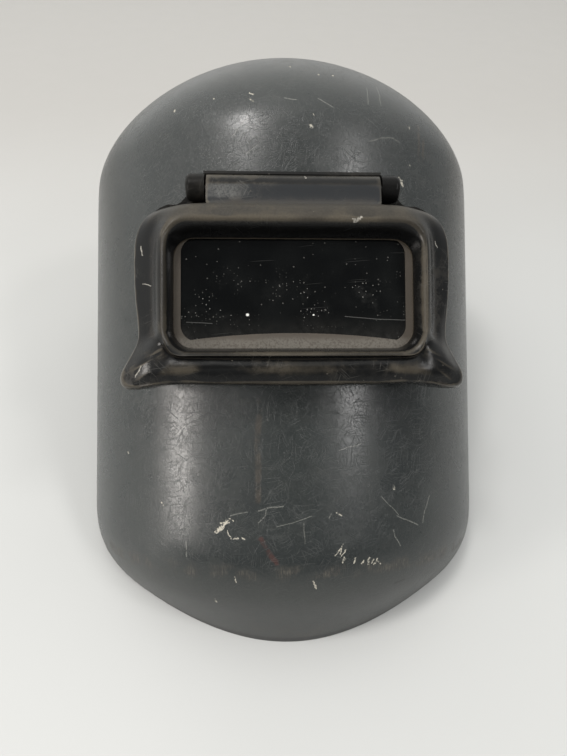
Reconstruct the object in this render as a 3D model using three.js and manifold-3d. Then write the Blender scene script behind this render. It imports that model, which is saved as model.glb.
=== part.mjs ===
// Welding helmet with a lift-front lens holder, in millimetres.
// The pieces are modelled upright: x to the wearer's left as seen from the front, "ahead" towards the
// front of the helmet, and "up" along its height from the chin rim. One group then leans the helmet
// back, so that it rests on its chin rim and its two rear lower corners, and stands it on z = 0.

import * as THREE from 'three';
import { mergeVertices } from 'three/addons/utils/BufferGeometryUtils.js';
import Module from 'manifold-3d';

const wasm = await Module();
wasm.setup();

// Shell
const SHELL_HALF_WIDTH = 115;
const SHELL_FRONT_REACH = 117.5;
const SHELL_WALL = 2.2;
const SPRING_HEIGHT = 248;
const DOME_RISE = 73;
const DOME_POWER_SIDE = 1.8;
const DOME_POWER_FRONT = 2.05;
const CHIN_TURN_HEIGHT = 39;
const CHIN_TURN_RADIUS = 45;
const CHIN_SLOPE_SIDE = 1.14;
const CHIN_SLOPE_FRONT = 1.0;
const LEAN = THREE.MathUtils.degToRad(48.3);
const JAW_BACK = 80;
const CROWN_BACK = 105;
const JAW_CORNER_RADIUS = 60;
const JAW_ARCH = 5;
const PIVOT_BACK = 30;
const PIVOT_DROP = 40;
const PIVOT_HOLE_RADIUS = 4.8;

// Lens plates, a standard 2 by 4 1/4 inch pair
const GLASS_WIDTH = 108;
const GLASS_HEIGHT = 50.8;
const GLASS_DROP = 79.25;
const FILTER_THICKNESS = 3;
const CLEAR_THICKNESS = 2.2;
const GASKET_THICKNESS = 0.6;
const RETAINER_THICKNESS = 0.8;
const PLATE_PLAY = 0.3;
const PLATE_CORNER = 1;
const SIGHT_INSET_SIDE = 2.8;
const SIGHT_INSET_HEIGHT = 1.9;
const SIGHT_CORNER = 8.5;
const GASKET_SIDE_STRIP = 5.6;
const GASKET_BOW = 3.5;
const GASKET_STRIP = 3.1;

// Lift front, whose rim and outline are measured out from the sight
const SEAT_GAP = 0.4;
const FRAME_DEPTH = 15.6;
const LIP_THICKNESS = 1.2;
const RIM_SIDE = 2.1;
const RIM_BELOW = 2.25;
const RIM_ABOVE = 5.25;
const RIM_CORNER = 10;
const RIM_ROUND = 0.7;
const BORDER_SIDE = 16.2;
const BORDER_BELOW = 14;
const BORDER_ABOVE = 9.4;
const LEAF_HALF_WIDTH = 37.4;
const CREST_OUT = 0.11;
const SKIRT_OUT = 0.965;
const SKIRT_GAP = 1.2;

// Hinge
const HINGE_RISE = 8.5;
const HINGE_STAND_OFF = 3.1;
const BARREL_RADIUS = 5.8;
const BARREL_GAP = 0.5;
const PANEL_RISE = 0.5;
const PANEL_DROP = 0.6;
const PIN_RADIUS = 1.5;
const PIN_PLAY = 0.25;
const KNUCKLE_LENGTH = 8.2;
const KNUCKLE_GAP = 0.8;
const KNUCKLE_DOME = 2.2;
const ARM_HALF_HEIGHT = 4.5;
const LEDGE_THICKNESS = 2.4;
const LEDGE_STAND_OFF = 1.2;

// Fixed holder and its clamp
const HOLDER_STAND_OFF = 5.9;
const HOLDER_INSET_SIDE = 4.5;
const HOLDER_INSET_BELOW = 3.8;
const HOLDER_RISE = 2.6;
const HOLDER_TOP_CORNER = 14;
const HOLDER_LOW_CORNER = 8;
const HOLDER_LIP = 1.2;
const GUSSET_WIDTH = 6;
const SLEEVE_WALL = 3;
const SLEEVE_REACH = 3.2;
const WINDOW_SIDE = 1.4;
const WINDOW_RISE = 1.2;
const CLAMP_BAND = 8;
const CLAMP_THICKNESS = 2.5;
const SHELL_GAP = 0.45;

// Places worked out from the sizes above
const SHELL_TOP = SPRING_HEIGHT + DOME_RISE;
const PIVOT_HEIGHT = SPRING_HEIGHT - PIVOT_DROP;
const GLASS_CENTRE = SPRING_HEIGHT - GLASS_DROP;
const SIGHT_HALF_WIDTH = GLASS_WIDTH / 2 - SIGHT_INSET_SIDE;
const SIGHT_HALF_HEIGHT = GLASS_HEIGHT / 2 - SIGHT_INSET_HEIGHT;
const RIM_HALF_WIDTH = SIGHT_HALF_WIDTH + RIM_SIDE;
const RIM_BOTTOM = GLASS_CENTRE - SIGHT_HALF_HEIGHT - RIM_BELOW;
const RIM_TOP = GLASS_CENTRE + SIGHT_HALF_HEIGHT + RIM_ABOVE;
const FRAME_HALF_WIDTH = RIM_HALF_WIDTH + BORDER_SIDE;
const FRAME_BOTTOM = RIM_BOTTOM - BORDER_BELOW;
const FRAME_TOP = RIM_TOP + BORDER_ABOVE;
const HOLDER_FACE = SHELL_FRONT_REACH + HOLDER_STAND_OFF;
const FRAME_BACK = HOLDER_FACE + SEAT_GAP;
const RIM_FRONT = FRAME_BACK + FRAME_DEPTH;
const RETAINER_BACK = FRAME_BACK + SEAT_GAP;
const FILTER_BACK = RETAINER_BACK + RETAINER_THICKNESS + PLATE_PLAY;
const GASKET_BACK = FILTER_BACK + FILTER_THICKNESS + PLATE_PLAY;
const POCKET_FRONT = GASKET_BACK + GASKET_THICKNESS + PLATE_PLAY;
const LIP_FRONT = POCKET_FRONT + LIP_THICKNESS;
const GROOVE_FRONT = HOLDER_FACE - HOLDER_LIP;
const CLEAR_BACK = GROOVE_FRONT - PLATE_PLAY - CLEAR_THICKNESS;
const GROOVE_BACK = CLEAR_BACK - PLATE_PLAY;
const POCKET_HALF_WIDTH = GLASS_WIDTH / 2 + PLATE_PLAY;
const POCKET_HALF_HEIGHT = GLASS_HEIGHT / 2 + PLATE_PLAY;
const HOLDER_HALF_WIDTH = FRAME_HALF_WIDTH - HOLDER_INSET_SIDE;
const HOLDER_BOTTOM = FRAME_BOTTOM + HOLDER_INSET_BELOW;
const HOLDER_TOP = FRAME_TOP + HOLDER_RISE;
const SKIRT_INSIDE = HOLDER_HALF_WIDTH + SEAT_GAP;
const SKIRT_FLOOR = HOLDER_BOTTOM - SEAT_GAP;
const WINDOW_HALF_WIDTH = GLASS_WIDTH / 2 + WINDOW_SIDE;
const WINDOW_HALF_HEIGHT = GLASS_HEIGHT / 2 + WINDOW_RISE;
const WINDOW_LOW = GLASS_CENTRE - WINDOW_HALF_HEIGHT;
const WINDOW_HIGH = GLASS_CENTRE + WINDOW_HALF_HEIGHT;
const HINGE_AHEAD = HOLDER_FACE + HINGE_STAND_OFF;
const HINGE_HEIGHT = FRAME_TOP + HINGE_RISE;
const HINGE_RECESS = HINGE_AHEAD - BARREL_RADIUS - BARREL_GAP;
const LEDGE_LOW = HINGE_HEIGHT + BARREL_RADIUS + SEAT_GAP;
const LEDGE_TOP = LEDGE_LOW + LEDGE_THICKNESS;
const LEDGE_AHEAD = HOLDER_FACE + LEDGE_STAND_OFF;
const KNUCKLE_START = LEAF_HALF_WIDTH + KNUCKLE_GAP;
const KNUCKLE_END = KNUCKLE_START + KNUCKLE_LENGTH;

const finish = (color, roughness, metalness = 0) =>
  new THREE.MeshStandardMaterial({ color, roughness, metalness });
const SHELL_BLACK = finish(0x3a3f40, 0.42);
const MOULDED_BLACK = finish(0x1d1c1b, 0.35);
const DARK_GLASS = finish(0x07090a, 0.08);
const CLEAR_GLASS = new THREE.MeshStandardMaterial({
  color: 0xdfe8e6, roughness: 0.05, transparent: true, opacity: 0.35 });
const GASKET_BROWN = finish(0x5b5247, 0.8);
const STEEL = finish(0x8a8c8e, 0.38, 0.9);

const ROUND_STEPS = 3;
const BOW_STEPS = 9;
const ENVELOPE_STEPS = 44;
const lerp = THREE.MathUtils.lerp;

// A point of the upright helmet: x, how far ahead, how far up
const place = ([x, ahead, up]) => [x, -ahead, up];

const between = (a, b) => Math.hypot(a[0] - b[0], a[1] - b[1], a[2] - b[2]);

// A closed solid from four-cornered faces, each split along its shorter diagonal, with shared corners merged
function solidFromFaces(faces) {
  const numbers = [];
  for (const [a, b, c, d] of faces) {
    const halves = between(a, c) <= between(b, d) ? [a, b, c, a, c, d] : [a, b, d, b, c, d];
    for (const point of halves) numbers.push(...place(point));
  }
  const loose = new THREE.BufferGeometry();
  loose.setAttribute('position', new THREE.Float32BufferAttribute(numbers, 3));
  return withoutSlivers(mergeVertices(loose, 1e-3));
}

// Triangles that closed up on themselves where corners were merged are left out
function withoutSlivers(geometry) {
  const index = geometry.index.array;
  const kept = [];
  for (let i = 0; i < index.length; i += 3) {
    const [a, b, c] = [index[i], index[i + 1], index[i + 2]];
    if (a !== b && b !== c && c !== a) kept.push(a, b, c);
  }
  geometry.setIndex(kept);
  if (signedVolume(geometry) < 0) {
    for (let i = 0; i < kept.length; i += 3) {
      [kept[i + 1], kept[i + 2]] = [kept[i + 2], kept[i + 1]];
    }
    geometry.setIndex(kept);
  }
  return geometry;
}

function signedVolume(geometry) {
  const spot = geometry.attributes.position;
  const index = geometry.index.array;
  const [a, b, c] = [new THREE.Vector3(), new THREE.Vector3(), new THREE.Vector3()];
  let sum = 0;
  for (let i = 0; i < index.length; i += 3) {
    a.fromBufferAttribute(spot, index[i]);
    b.fromBufferAttribute(spot, index[i + 1]);
    c.fromBufferAttribute(spot, index[i + 2]);
    sum += a.dot(b.cross(c));
  }
  return sum / 6;
}

function toManifold(geometry) {
  const bare = geometry.clone();
  bare.deleteAttribute('normal');
  bare.deleteAttribute('uv');
  const merged = mergeVertices(bare, 1e-4);
  return new wasm.Manifold(new wasm.Mesh({
    numProp: 3,
    vertProperties: new Float32Array(merged.attributes.position.array),
    triVerts: new Uint32Array(merged.index.array),
  }));
}

function fromManifold(solid) {
  const mesh = solid.getMesh();
  const geometry = new THREE.BufferGeometry();
  geometry.setAttribute('position', new THREE.BufferAttribute(mesh.vertProperties, 3));
  geometry.setIndex(new THREE.BufferAttribute(mesh.triVerts, 1));
  return geometry;
}

// A flat outline, drawn in x and up, given thickness from one depth to another
function prism(outline, back, front, steps = ROUND_STEPS) {
  const geometry = new THREE.ExtrudeGeometry(outline,
    { depth: front - back, bevelEnabled: false, curveSegments: steps });
  geometry.rotateX(Math.PI / 2);
  geometry.translate(0, -back, 0);
  return geometry;
}

// A section drawn in ahead and up, run across the helmet from one x to another
function bar(section, from, to) {
  const outline = new THREE.Shape(section.map(([ahead, up]) => new THREE.Vector2(-ahead, up)));
  const geometry = new THREE.ExtrudeGeometry(outline, { depth: to - from, bevelEnabled: false });
  geometry.applyMatrix4(new THREE.Matrix4().set(
    0, 0, 1, from,
    1, 0, 0, 0,
    0, 1, 0, 0,
    0, 0, 0, 1));
  return geometry;
}

function rod(radius, from, to, sides) {
  const geometry = new THREE.CylinderGeometry(radius, radius, to - from, sides);
  geometry.rotateZ(Math.PI / 2);
  geometry.translate((from + to) / 2, -HINGE_AHEAD, HINGE_HEIGHT);
  return geometry;
}

function roundedRectangle(halfWidth, low, high, radius, Kind = THREE.Shape) {
  const outline = new Kind();
  outline.moveTo(-halfWidth + radius, low);
  outline.lineTo(halfWidth - radius, low);
  outline.absarc(halfWidth - radius, low + radius, radius, -Math.PI / 2, 0);
  outline.lineTo(halfWidth, high - radius);
  outline.absarc(halfWidth - radius, high - radius, radius, 0, Math.PI / 2);
  outline.lineTo(-halfWidth + radius, high);
  outline.absarc(-halfWidth + radius, high - radius, radius, Math.PI / 2, Math.PI);
  outline.lineTo(-halfWidth, low + radius);
  outline.absarc(-halfWidth + radius, low + radius, radius, Math.PI, 1.5 * Math.PI);
  return outline;
}

// A rounded rectangle about the centre of the glass
function plateOutline(halfWidth, halfHeight, radius, Kind) {
  return roundedRectangle(halfWidth, GLASS_CENTRE - halfHeight, GLASS_CENTRE + halfHeight, radius, Kind);
}

// How far the wall has turned in at a depth below the chin turn
function chinInset(drop, slope) {
  const turn = Math.atan(slope);
  const run = CHIN_TURN_RADIUS * Math.tan(turn / 2);
  if (drop <= -run) return 0;
  if (drop > run * Math.cos(turn)) return slope * drop;
  return CHIN_TURN_RADIUS - Math.sqrt(CHIN_TURN_RADIUS ** 2 - (drop + run) ** 2);
}

// Half width and front reach of the shell's level section at a height
function sectionAt(up) {
  const share = THREE.MathUtils.clamp((up - SPRING_HEIGHT) / DOME_RISE, 0, 1);
  const domed = (power) => (1 - share ** power) ** (1 / power);
  const drop = CHIN_TURN_HEIGHT - up;
  return {
    halfWidth: SHELL_HALF_WIDTH * domed(DOME_POWER_SIDE) - chinInset(drop, CHIN_SLOPE_SIDE),
    reach: SHELL_FRONT_REACH * domed(DOME_POWER_FRONT) - chinInset(drop, CHIN_SLOPE_FRONT),
  };
}

const CHIN_REACH = sectionAt(0).reach;

// Height of a point above the plane that the helmet rests on
const aboveRest = (ahead, up) => (ahead - CHIN_REACH) * Math.sin(LEAN) + up * Math.cos(LEAN);

// The rim seen from the side: up along the jaw, round the lower rear corner, up to the crown
const jawCorner = new THREE.Vector2(-JAW_BACK, (CHIN_REACH + JAW_BACK) * Math.tan(LEAN));
const jawInward = new THREE.Vector2(Math.sin(LEAN), Math.cos(LEAN));
const crownEnd = new THREE.Vector2(-CROWN_BACK, SHELL_TOP);
const rearAlong = crownEnd.clone().sub(jawCorner).normalize();
const rearInward = new THREE.Vector2(rearAlong.y, -rearAlong.x);
const cornerMiddle = jawInward.clone().add(rearInward).normalize();
const cornerCentre = jawCorner.clone().addScaledVector(cornerMiddle,
  JAW_CORNER_RADIUS / cornerMiddle.dot(jawInward));
const jawEnd = cornerCentre.clone().addScaledVector(jawInward, -JAW_CORNER_RADIUS);
const rearStart = cornerCentre.clone().addScaledVector(rearInward, -JAW_CORNER_RADIUS);
const cornerTurn = cornerCentre.clone().addScaledVector(cornerMiddle, -JAW_CORNER_RADIUS);

function jawLift(ahead) {
  const share = THREE.MathUtils.clamp((CHIN_REACH - ahead) / (CHIN_REACH - jawEnd.x), 0, 1);
  return JAW_ARCH * Math.sin(Math.PI * share) ** 2;
}

function jawHeight(ahead) {
  if (ahead < jawEnd.x) {
    return cornerCentre.y - Math.sqrt(JAW_CORNER_RADIUS ** 2 - (ahead - cornerCentre.x) ** 2);
  }
  return (CHIN_REACH - ahead) * Math.tan(LEAN) + jawLift(ahead) / Math.cos(LEAN);
}

function rearAhead(up) {
  if (up < rearStart.y) {
    return cornerCentre.x - Math.sqrt(JAW_CORNER_RADIUS ** 2 - (up - cornerCentre.y) ** 2);
  }
  return lerp(rearStart.x, crownEnd.x, (up - rearStart.y) / (crownEnd.y - rearStart.y));
}

// Height of the rim on the rounded front, at an angle from straight ahead
function frontRimHeight(angle) {
  let low = 0;
  let high = SPRING_HEIGHT;
  for (let step = 0; step < 50; step += 1) {
    const up = (low + high) / 2;
    const ahead = sectionAt(up).reach * Math.cos(angle);
    if (aboveRest(ahead, up) < jawLift(ahead)) low = up;
    else high = up;
  }
  return low;
}

// Columns of the shell from front middle to rear edge: an angle round the front, then a share of the side
const windowAngle = Math.asin(WINDOW_HALF_WIDTH / SHELL_HALF_WIDTH);
const WINDOW_COLUMNS = 4;
const FLANK_COLUMNS = 10;
const LEVEL_MARGIN = 30;
const SIDE_LEVEL_DROP = 8;
const SIDE_SHARES = [0.18, 0.36, 0.55, 0.75, 0.92, 0.985, 1];

function shellColumns() {
  const columns = [];
  for (let step = 0; step <= WINDOW_COLUMNS; step += 1) {
    columns.push({ angle: windowAngle * step / WINDOW_COLUMNS, share: 0 });
  }
  for (let step = 1; step <= FLANK_COLUMNS; step += 1) {
    columns.push({ angle: lerp(windowAngle, Math.PI / 2, step / FLANK_COLUMNS), share: 0 });
  }
  for (const share of SIDE_SHARES) columns.push({ angle: Math.PI / 2, share });
  for (const column of columns) {
    column.rim = column.share ? jawHeight(column.share * cornerTurn.x) : frontRimHeight(column.angle);
    const flank = THREE.MathUtils.smoothstep(column.angle, windowAngle, Math.PI / 2);
    column.level = lerp(WINDOW_LOW - LEVEL_MARGIN, SPRING_HEIGHT - SIDE_LEVEL_DROP, flank);
  }
  return columns;
}

// Row heights at the front middle, from the chin rim to the top of the dome
const RIM_ROW = 1.6;
const CHIN_ROWS = 8;
const WALL_ROWS = 4;
const DOME_ROWS = 12;

function shellRows() {
  const turnTop = CHIN_TURN_HEIGHT + CHIN_TURN_RADIUS / 2;
  const rows = [0, RIM_ROW];
  for (let step = 1; step <= CHIN_ROWS; step += 1) rows.push(lerp(RIM_ROW, turnTop, step / CHIN_ROWS));
  for (let step = 1; step <= WALL_ROWS; step += 1) rows.push(lerp(turnTop, WINDOW_LOW, step / WALL_ROWS));
  for (const share of [1 / 3, 2 / 3, 1]) rows.push(lerp(WINDOW_LOW, WINDOW_HIGH, share));
  for (const share of [0.5, 1]) rows.push(lerp(WINDOW_HIGH, SPRING_HEIGHT, share));
  for (let step = 1; step <= DOME_ROWS; step += 1) {
    const turn = step / DOME_ROWS * Math.PI / 2;
    rows.push(SPRING_HEIGHT + DOME_RISE * Math.sin(turn) ** (2 / DOME_POWER_SIDE));
  }
  return rows;
}

// One point of the shell's outside, and the point of its inside a wall's thickness in
function shellPoint(column, rowHeight, wall) {
  const up = Math.min(SHELL_TOP, rowHeight + column.rim * Math.max(0, 1 - rowHeight / column.level));
  const { halfWidth, reach } = sectionAt(up);
  const ahead = reach * Math.cos(column.angle) + column.share * rearAhead(Math.max(up, cornerTurn.y));
  const outside = [halfWidth * Math.sin(column.angle), ahead, up];
  if (SHELL_TOP - up < 1e-6) return [0, outside[1], up - wall];
  const nudge = 0.01;
  const above = sectionAt(up + nudge);
  const below = sectionAt(up - nudge);
  const widthRate = (above.halfWidth - below.halfWidth) / (2 * nudge);
  const reachRate = (above.reach - below.reach) / (2 * nudge);
  const [s, c] = [Math.sin(column.angle), Math.cos(column.angle)];
  const slope = halfWidth * reachRate * c * c + reach * widthRate * s * s;
  const normal = new THREE.Vector3(reach * s, halfWidth * c, -slope).normalize();
  return [outside[0] - wall * normal.x, outside[1] - wall * normal.y, outside[2] - wall * normal.z];
}

// The grid corner nearest the headgear pivot, whose neighbours make the round of the hole
function pivotCorner(columns, rows) {
  let nearest = { miss: Infinity };
  columns.forEach((column, c) => {
    rows.forEach((row, r) => {
      if (!column.share || c + 2 > columns.length - 1) return;
      const [, ahead, up] = shellPoint(column, row, 0);
      const miss = Math.hypot(ahead + PIVOT_BACK, up - PIVOT_HEIGHT);
      if (miss < nearest.miss) nearest = { miss, c, r };
    });
  });
  return nearest;
}

function shellSkin(columns, rows, wall, pivot) {
  return columns.map((column, c) => rows.map((row, r) => {
    const point = shellPoint(column, row, wall);
    const [across, along] = [c - pivot.c, r - pivot.r];
    if (Math.max(Math.abs(across), Math.abs(along)) !== 1) return point;
    const far = Math.hypot(across, along);
    return [point[0],
      -PIVOT_BACK - PIVOT_HOLE_RADIUS * across / far,
      PIVOT_HEIGHT + PIVOT_HOLE_RADIUS * along / far];
  }));
}

function shellGeometry() {
  const columns = shellColumns();
  const rows = shellRows();
  const pivot = pivotCorner(columns, rows);
  const outside = shellSkin(columns, rows, 0, pivot);
  const inside = shellSkin(columns, rows, SHELL_WALL, pivot);
  const windowRows = [WINDOW_LOW, WINDOW_HIGH].map((height) => rows.indexOf(height));
  const open = (c, r) => {
    if (c < WINDOW_COLUMNS && r >= windowRows[0] && r < windowRows[1]) return true;
    return (c === pivot.c || c === pivot.c - 1) && (r === pivot.r || r === pivot.r - 1);
  };
  const faces = [];
  for (const side of [1, -1]) {
    const turned = (skin, c, r) => [side * skin[c][r][0], skin[c][r][1], skin[c][r][2]];
    const wall = (c0, r0, c1, r1) => {
      const loop = [turned(outside, c1, r1), turned(outside, c0, r0),
        turned(inside, c0, r0), turned(inside, c1, r1)];
      faces.push(side > 0 ? loop : loop.reverse());
    };
    for (let c = 0; c + 1 < columns.length; c += 1) {
      for (let r = 0; r + 1 < rows.length; r += 1) {
        if (open(c, r)) continue;
        const corners = [[c, r], [c, r + 1], [c + 1, r + 1], [c + 1, r]];
        const out = corners.map(([i, j]) => turned(outside, i, j));
        const into = corners.map(([i, j]) => turned(inside, i, j)).reverse();
        faces.push(side > 0 ? out : out.reverse(), side > 0 ? into : into.reverse());
        if (r === 0 || open(c, r - 1)) wall(c + 1, r, c, r);
        if (open(c, r + 1)) wall(c, r + 1, c + 1, r + 1);
        if (c > 0 && open(c - 1, r)) wall(c, r, c, r + 1);
        if (c + 2 === columns.length || open(c + 1, r)) wall(c + 1, r + 1, c + 1, r);
      }
    }
  }
  return solidFromFaces(faces);
}

// The room that the shell takes up about the lens holder, grown outwards, as one closed block
function shellEnvelope(grow) {
  const low = WINDOW_LOW - LEVEL_MARGIN;
  const corners = [];
  for (let step = 0; step <= ENVELOPE_STEPS; step += 1) {
    const angle = Math.PI * step / ENVELOPE_STEPS;
    corners.push(new THREE.Vector2((SHELL_HALF_WIDTH + grow) * Math.cos(angle),
      -(SHELL_FRONT_REACH + grow) * Math.sin(angle)));
  }
  const geometry = new THREE.ExtrudeGeometry(new THREE.Shape(corners.reverse()),
    { depth: SPRING_HEIGHT - low, bevelEnabled: false });
  geometry.translate(0, 0, low);
  return toManifold(geometry);
}

// A point on a rounded rectangle, at a share of the way round from top middle to bottom middle
const TOP_END = 0.22;
const CORNER_END = 0.38;
const SIDE_END = 0.52;
const LOW_CORNER_END = 0.8;

function roundTheWindow(share, halfWidth, low, high, radius) {
  const [flatX, topY, lowY] = [halfWidth - radius, high - radius, low + radius];
  if (share <= TOP_END) return [flatX * share / TOP_END, high];
  if (share <= CORNER_END) {
    const turn = (share - TOP_END) / (CORNER_END - TOP_END) * Math.PI / 2;
    return [flatX + radius * Math.sin(turn), topY + radius * Math.cos(turn)];
  }
  if (share <= SIDE_END) {
    return [halfWidth, lerp(topY, lowY, (share - CORNER_END) / (SIDE_END - CORNER_END))];
  }
  if (share <= LOW_CORNER_END) {
    const turn = (share - SIDE_END) / (LOW_CORNER_END - SIDE_END) * Math.PI / 2;
    return [flatX + radius * Math.cos(turn), lowY - radius * Math.sin(turn)];
  }
  return [flatX * (1 - share) / (1 - LOW_CORNER_END), low];
}

// Sections of the lift front, from top middle round to bottom middle. share is the way round.
// x is a share of FRAME_HALF_WIDTH and up a share of the way from FRAME_BOTTOM to FRAME_TOP.
// The next columns are shares of the way from the rim to the outline, and of FRAME_DEPTH above the back.
const FRAME_SECTIONS = {
  columns: ['share', 'x', 'up', 'ridgeOut', 'ridge', 'dipOut', 'dip', 'swellOut', 'swell',
    'rollOut', 'roll', 'edge', 'skirt'],
  rows: [
    [0.00, 0.000, 1.000, 0.40, 0.98, 0.70, 0.88, 0.90, 0.72, 0.985, 0.50, 0.30, 0.02],
    [0.17, 0.538, 1.000, 0.40, 0.98, 0.70, 0.88, 0.90, 0.72, 0.985, 0.50, 0.30, 0.02],
    [0.22, 0.630, 0.999, 0.38, 0.98, 0.68, 0.88, 0.89, 0.71, 0.985, 0.48, 0.28, 0.02],
    [0.28, 0.765, 0.987, 0.32, 0.96, 0.62, 0.80, 0.86, 0.62, 0.98, 0.40, 0.20, 0.01],
    [0.33, 0.895, 0.955, 0.26, 0.92, 0.50, 0.62, 0.80, 0.50, 0.96, 0.30, 0.08, 0.01],
    [0.38, 0.975, 0.870, 0.24, 0.89, 0.42, 0.50, 0.70, 0.40, 0.92, 0.22, -0.10, 0.01],
    [0.42, 1.000, 0.760, 0.24, 0.885, 0.40, 0.49, 0.66, 0.37, 0.90, 0.175, -0.18, -0.76],
    [0.48, 0.996, 0.530, 0.24, 0.885, 0.40, 0.49, 0.66, 0.37, 0.90, 0.175, -0.18, -0.76],
    [0.54, 0.974, 0.345, 0.25, 0.88, 0.42, 0.50, 0.68, 0.36, 0.90, 0.16, -0.20, -0.76],
    [0.58, 0.973, 0.270, 0.24, 0.87, 0.42, 0.58, 0.68, 0.38, 0.90, 0.15, -0.24, -0.76],
    [0.62, 1.010, 0.195, 0.18, 0.86, 0.38, 0.72, 0.64, 0.50, 0.88, 0.17, -0.30, -0.75],
    [0.66, 1.065, 0.110, 0.13, 0.85, 0.28, 0.86, 0.56, 0.66, 0.86, 0.22, -0.36, -0.74],
    [0.69, 1.090, 0.055, 0.12, 0.84, 0.25, 0.90, 0.55, 0.72, 0.86, 0.27, -0.36, -0.72],
    [0.715, 1.080, 0.010, 0.12, 0.84, 0.25, 0.91, 0.55, 0.76, 0.86, 0.32, -0.30, -0.72],
    [0.74, 1.034, -0.013, 0.13, 0.84, 0.27, 0.91, 0.56, 0.82, 0.86, 0.42, -0.12, -0.74],
    [0.77, 0.955, -0.014, 0.14, 0.84, 0.29, 0.92, 0.57, 0.88, 0.85, 0.56, 0.10, -0.75],
    [0.82, 0.850, 0.003, 0.17, 0.84, 0.32, 0.92, 0.58, 0.95, 0.84, 0.74, 0.36, -0.76],
    [0.88, 0.700, 0.011, 0.20, 0.84, 0.34, 0.92, 0.58, 0.96, 0.84, 0.80, 0.45, -0.76],
    [1.00, 0.000, 0.000, 0.20, 0.84, 0.34, 0.92, 0.58, 0.96, 0.84, 0.80, 0.46, -0.76],
  ],
};

// Smooth value of every column of the table at a share of the way round
function frameSection(share) {
  const { columns, rows } = FRAME_SECTIONS;
  let low = 0;
  while (low + 2 < rows.length && rows[low + 1][0] <= share) low += 1;
  const [before, from, to, after] = [rows[Math.max(low - 1, 0)], rows[low], rows[low + 1],
    rows[Math.min(low + 2, rows.length - 1)]];
  const span = to[0] - from[0];
  const t = (share - from[0]) / span;
  const section = {};
  columns.forEach((name, i) => {
    const rise = (a, b) => (b[0] > a[0] ? (b[i] - a[i]) / (b[0] - a[0]) : 0);
    const slope = rise(from, to);
    const gentle = (other) => (other * slope <= 0 ? 0
      : Math.sign(slope) * Math.min(Math.abs((other + slope) / 2), 3 * Math.abs(slope),
        3 * Math.abs(other)));
    const leave = span * (low === 0 ? slope : gentle(rise(before, from)));
    const arrive = span * (low + 2 >= rows.length ? slope : gentle(rise(to, after)));
    const rest = t - 1;
    section[name] = (1 + 2 * t) * rest * rest * from[i] + t * rest * rest * leave
      + t * t * (3 - 2 * t) * to[i] + t * t * rest * arrive;
  });
  return section;
}

const LEAF_SHARE = FRAME_SECTIONS.rows[1][0];
const FRAME_STATIONS = [0.057, 0.113, LEAF_SHARE, 0.197, 0.22, 0.25, 0.28, 0.305, 0.33, 0.355, 0.38, 0.4,
  0.42, 0.45, 0.48, 0.51, 0.54, 0.56, 0.58, 0.6, 0.62, 0.64, 0.66, 0.675, 0.69, 0.703, 0.715, 0.728, 0.74,
  0.755, 0.77, 0.795, 0.82, 0.85, 0.88, 0.93];
const EDGE_STEPS = 4;
const SKIRT_STEPS = 6;

// How far ahead the shell's upright wall lies at an x
const shellAhead = (x) => SHELL_FRONT_REACH * Math.sqrt(1 - (x / SHELL_HALF_WIDTH) ** 2);

// The hinge leaf's section: up its raised front panel, round the barrel, down its back
function leafPath() {
  const panel = HINGE_AHEAD + BARREL_RADIUS + PANEL_RISE;
  const path = [[panel + PANEL_RISE, HINGE_HEIGHT - 7.6], [panel, HINGE_HEIGHT - PANEL_DROP]];
  for (const degrees of [6, 40, 76, 112, 148, 181, 214]) {
    const turn = THREE.MathUtils.degToRad(degrees);
    path.push([HINGE_AHEAD + BARREL_RADIUS * Math.cos(turn), HINGE_HEIGHT + BARREL_RADIUS * Math.sin(turn)]);
  }
  path.push([FRAME_BACK, HINGE_HEIGHT - 6.6]);
  return path;
}

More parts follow.
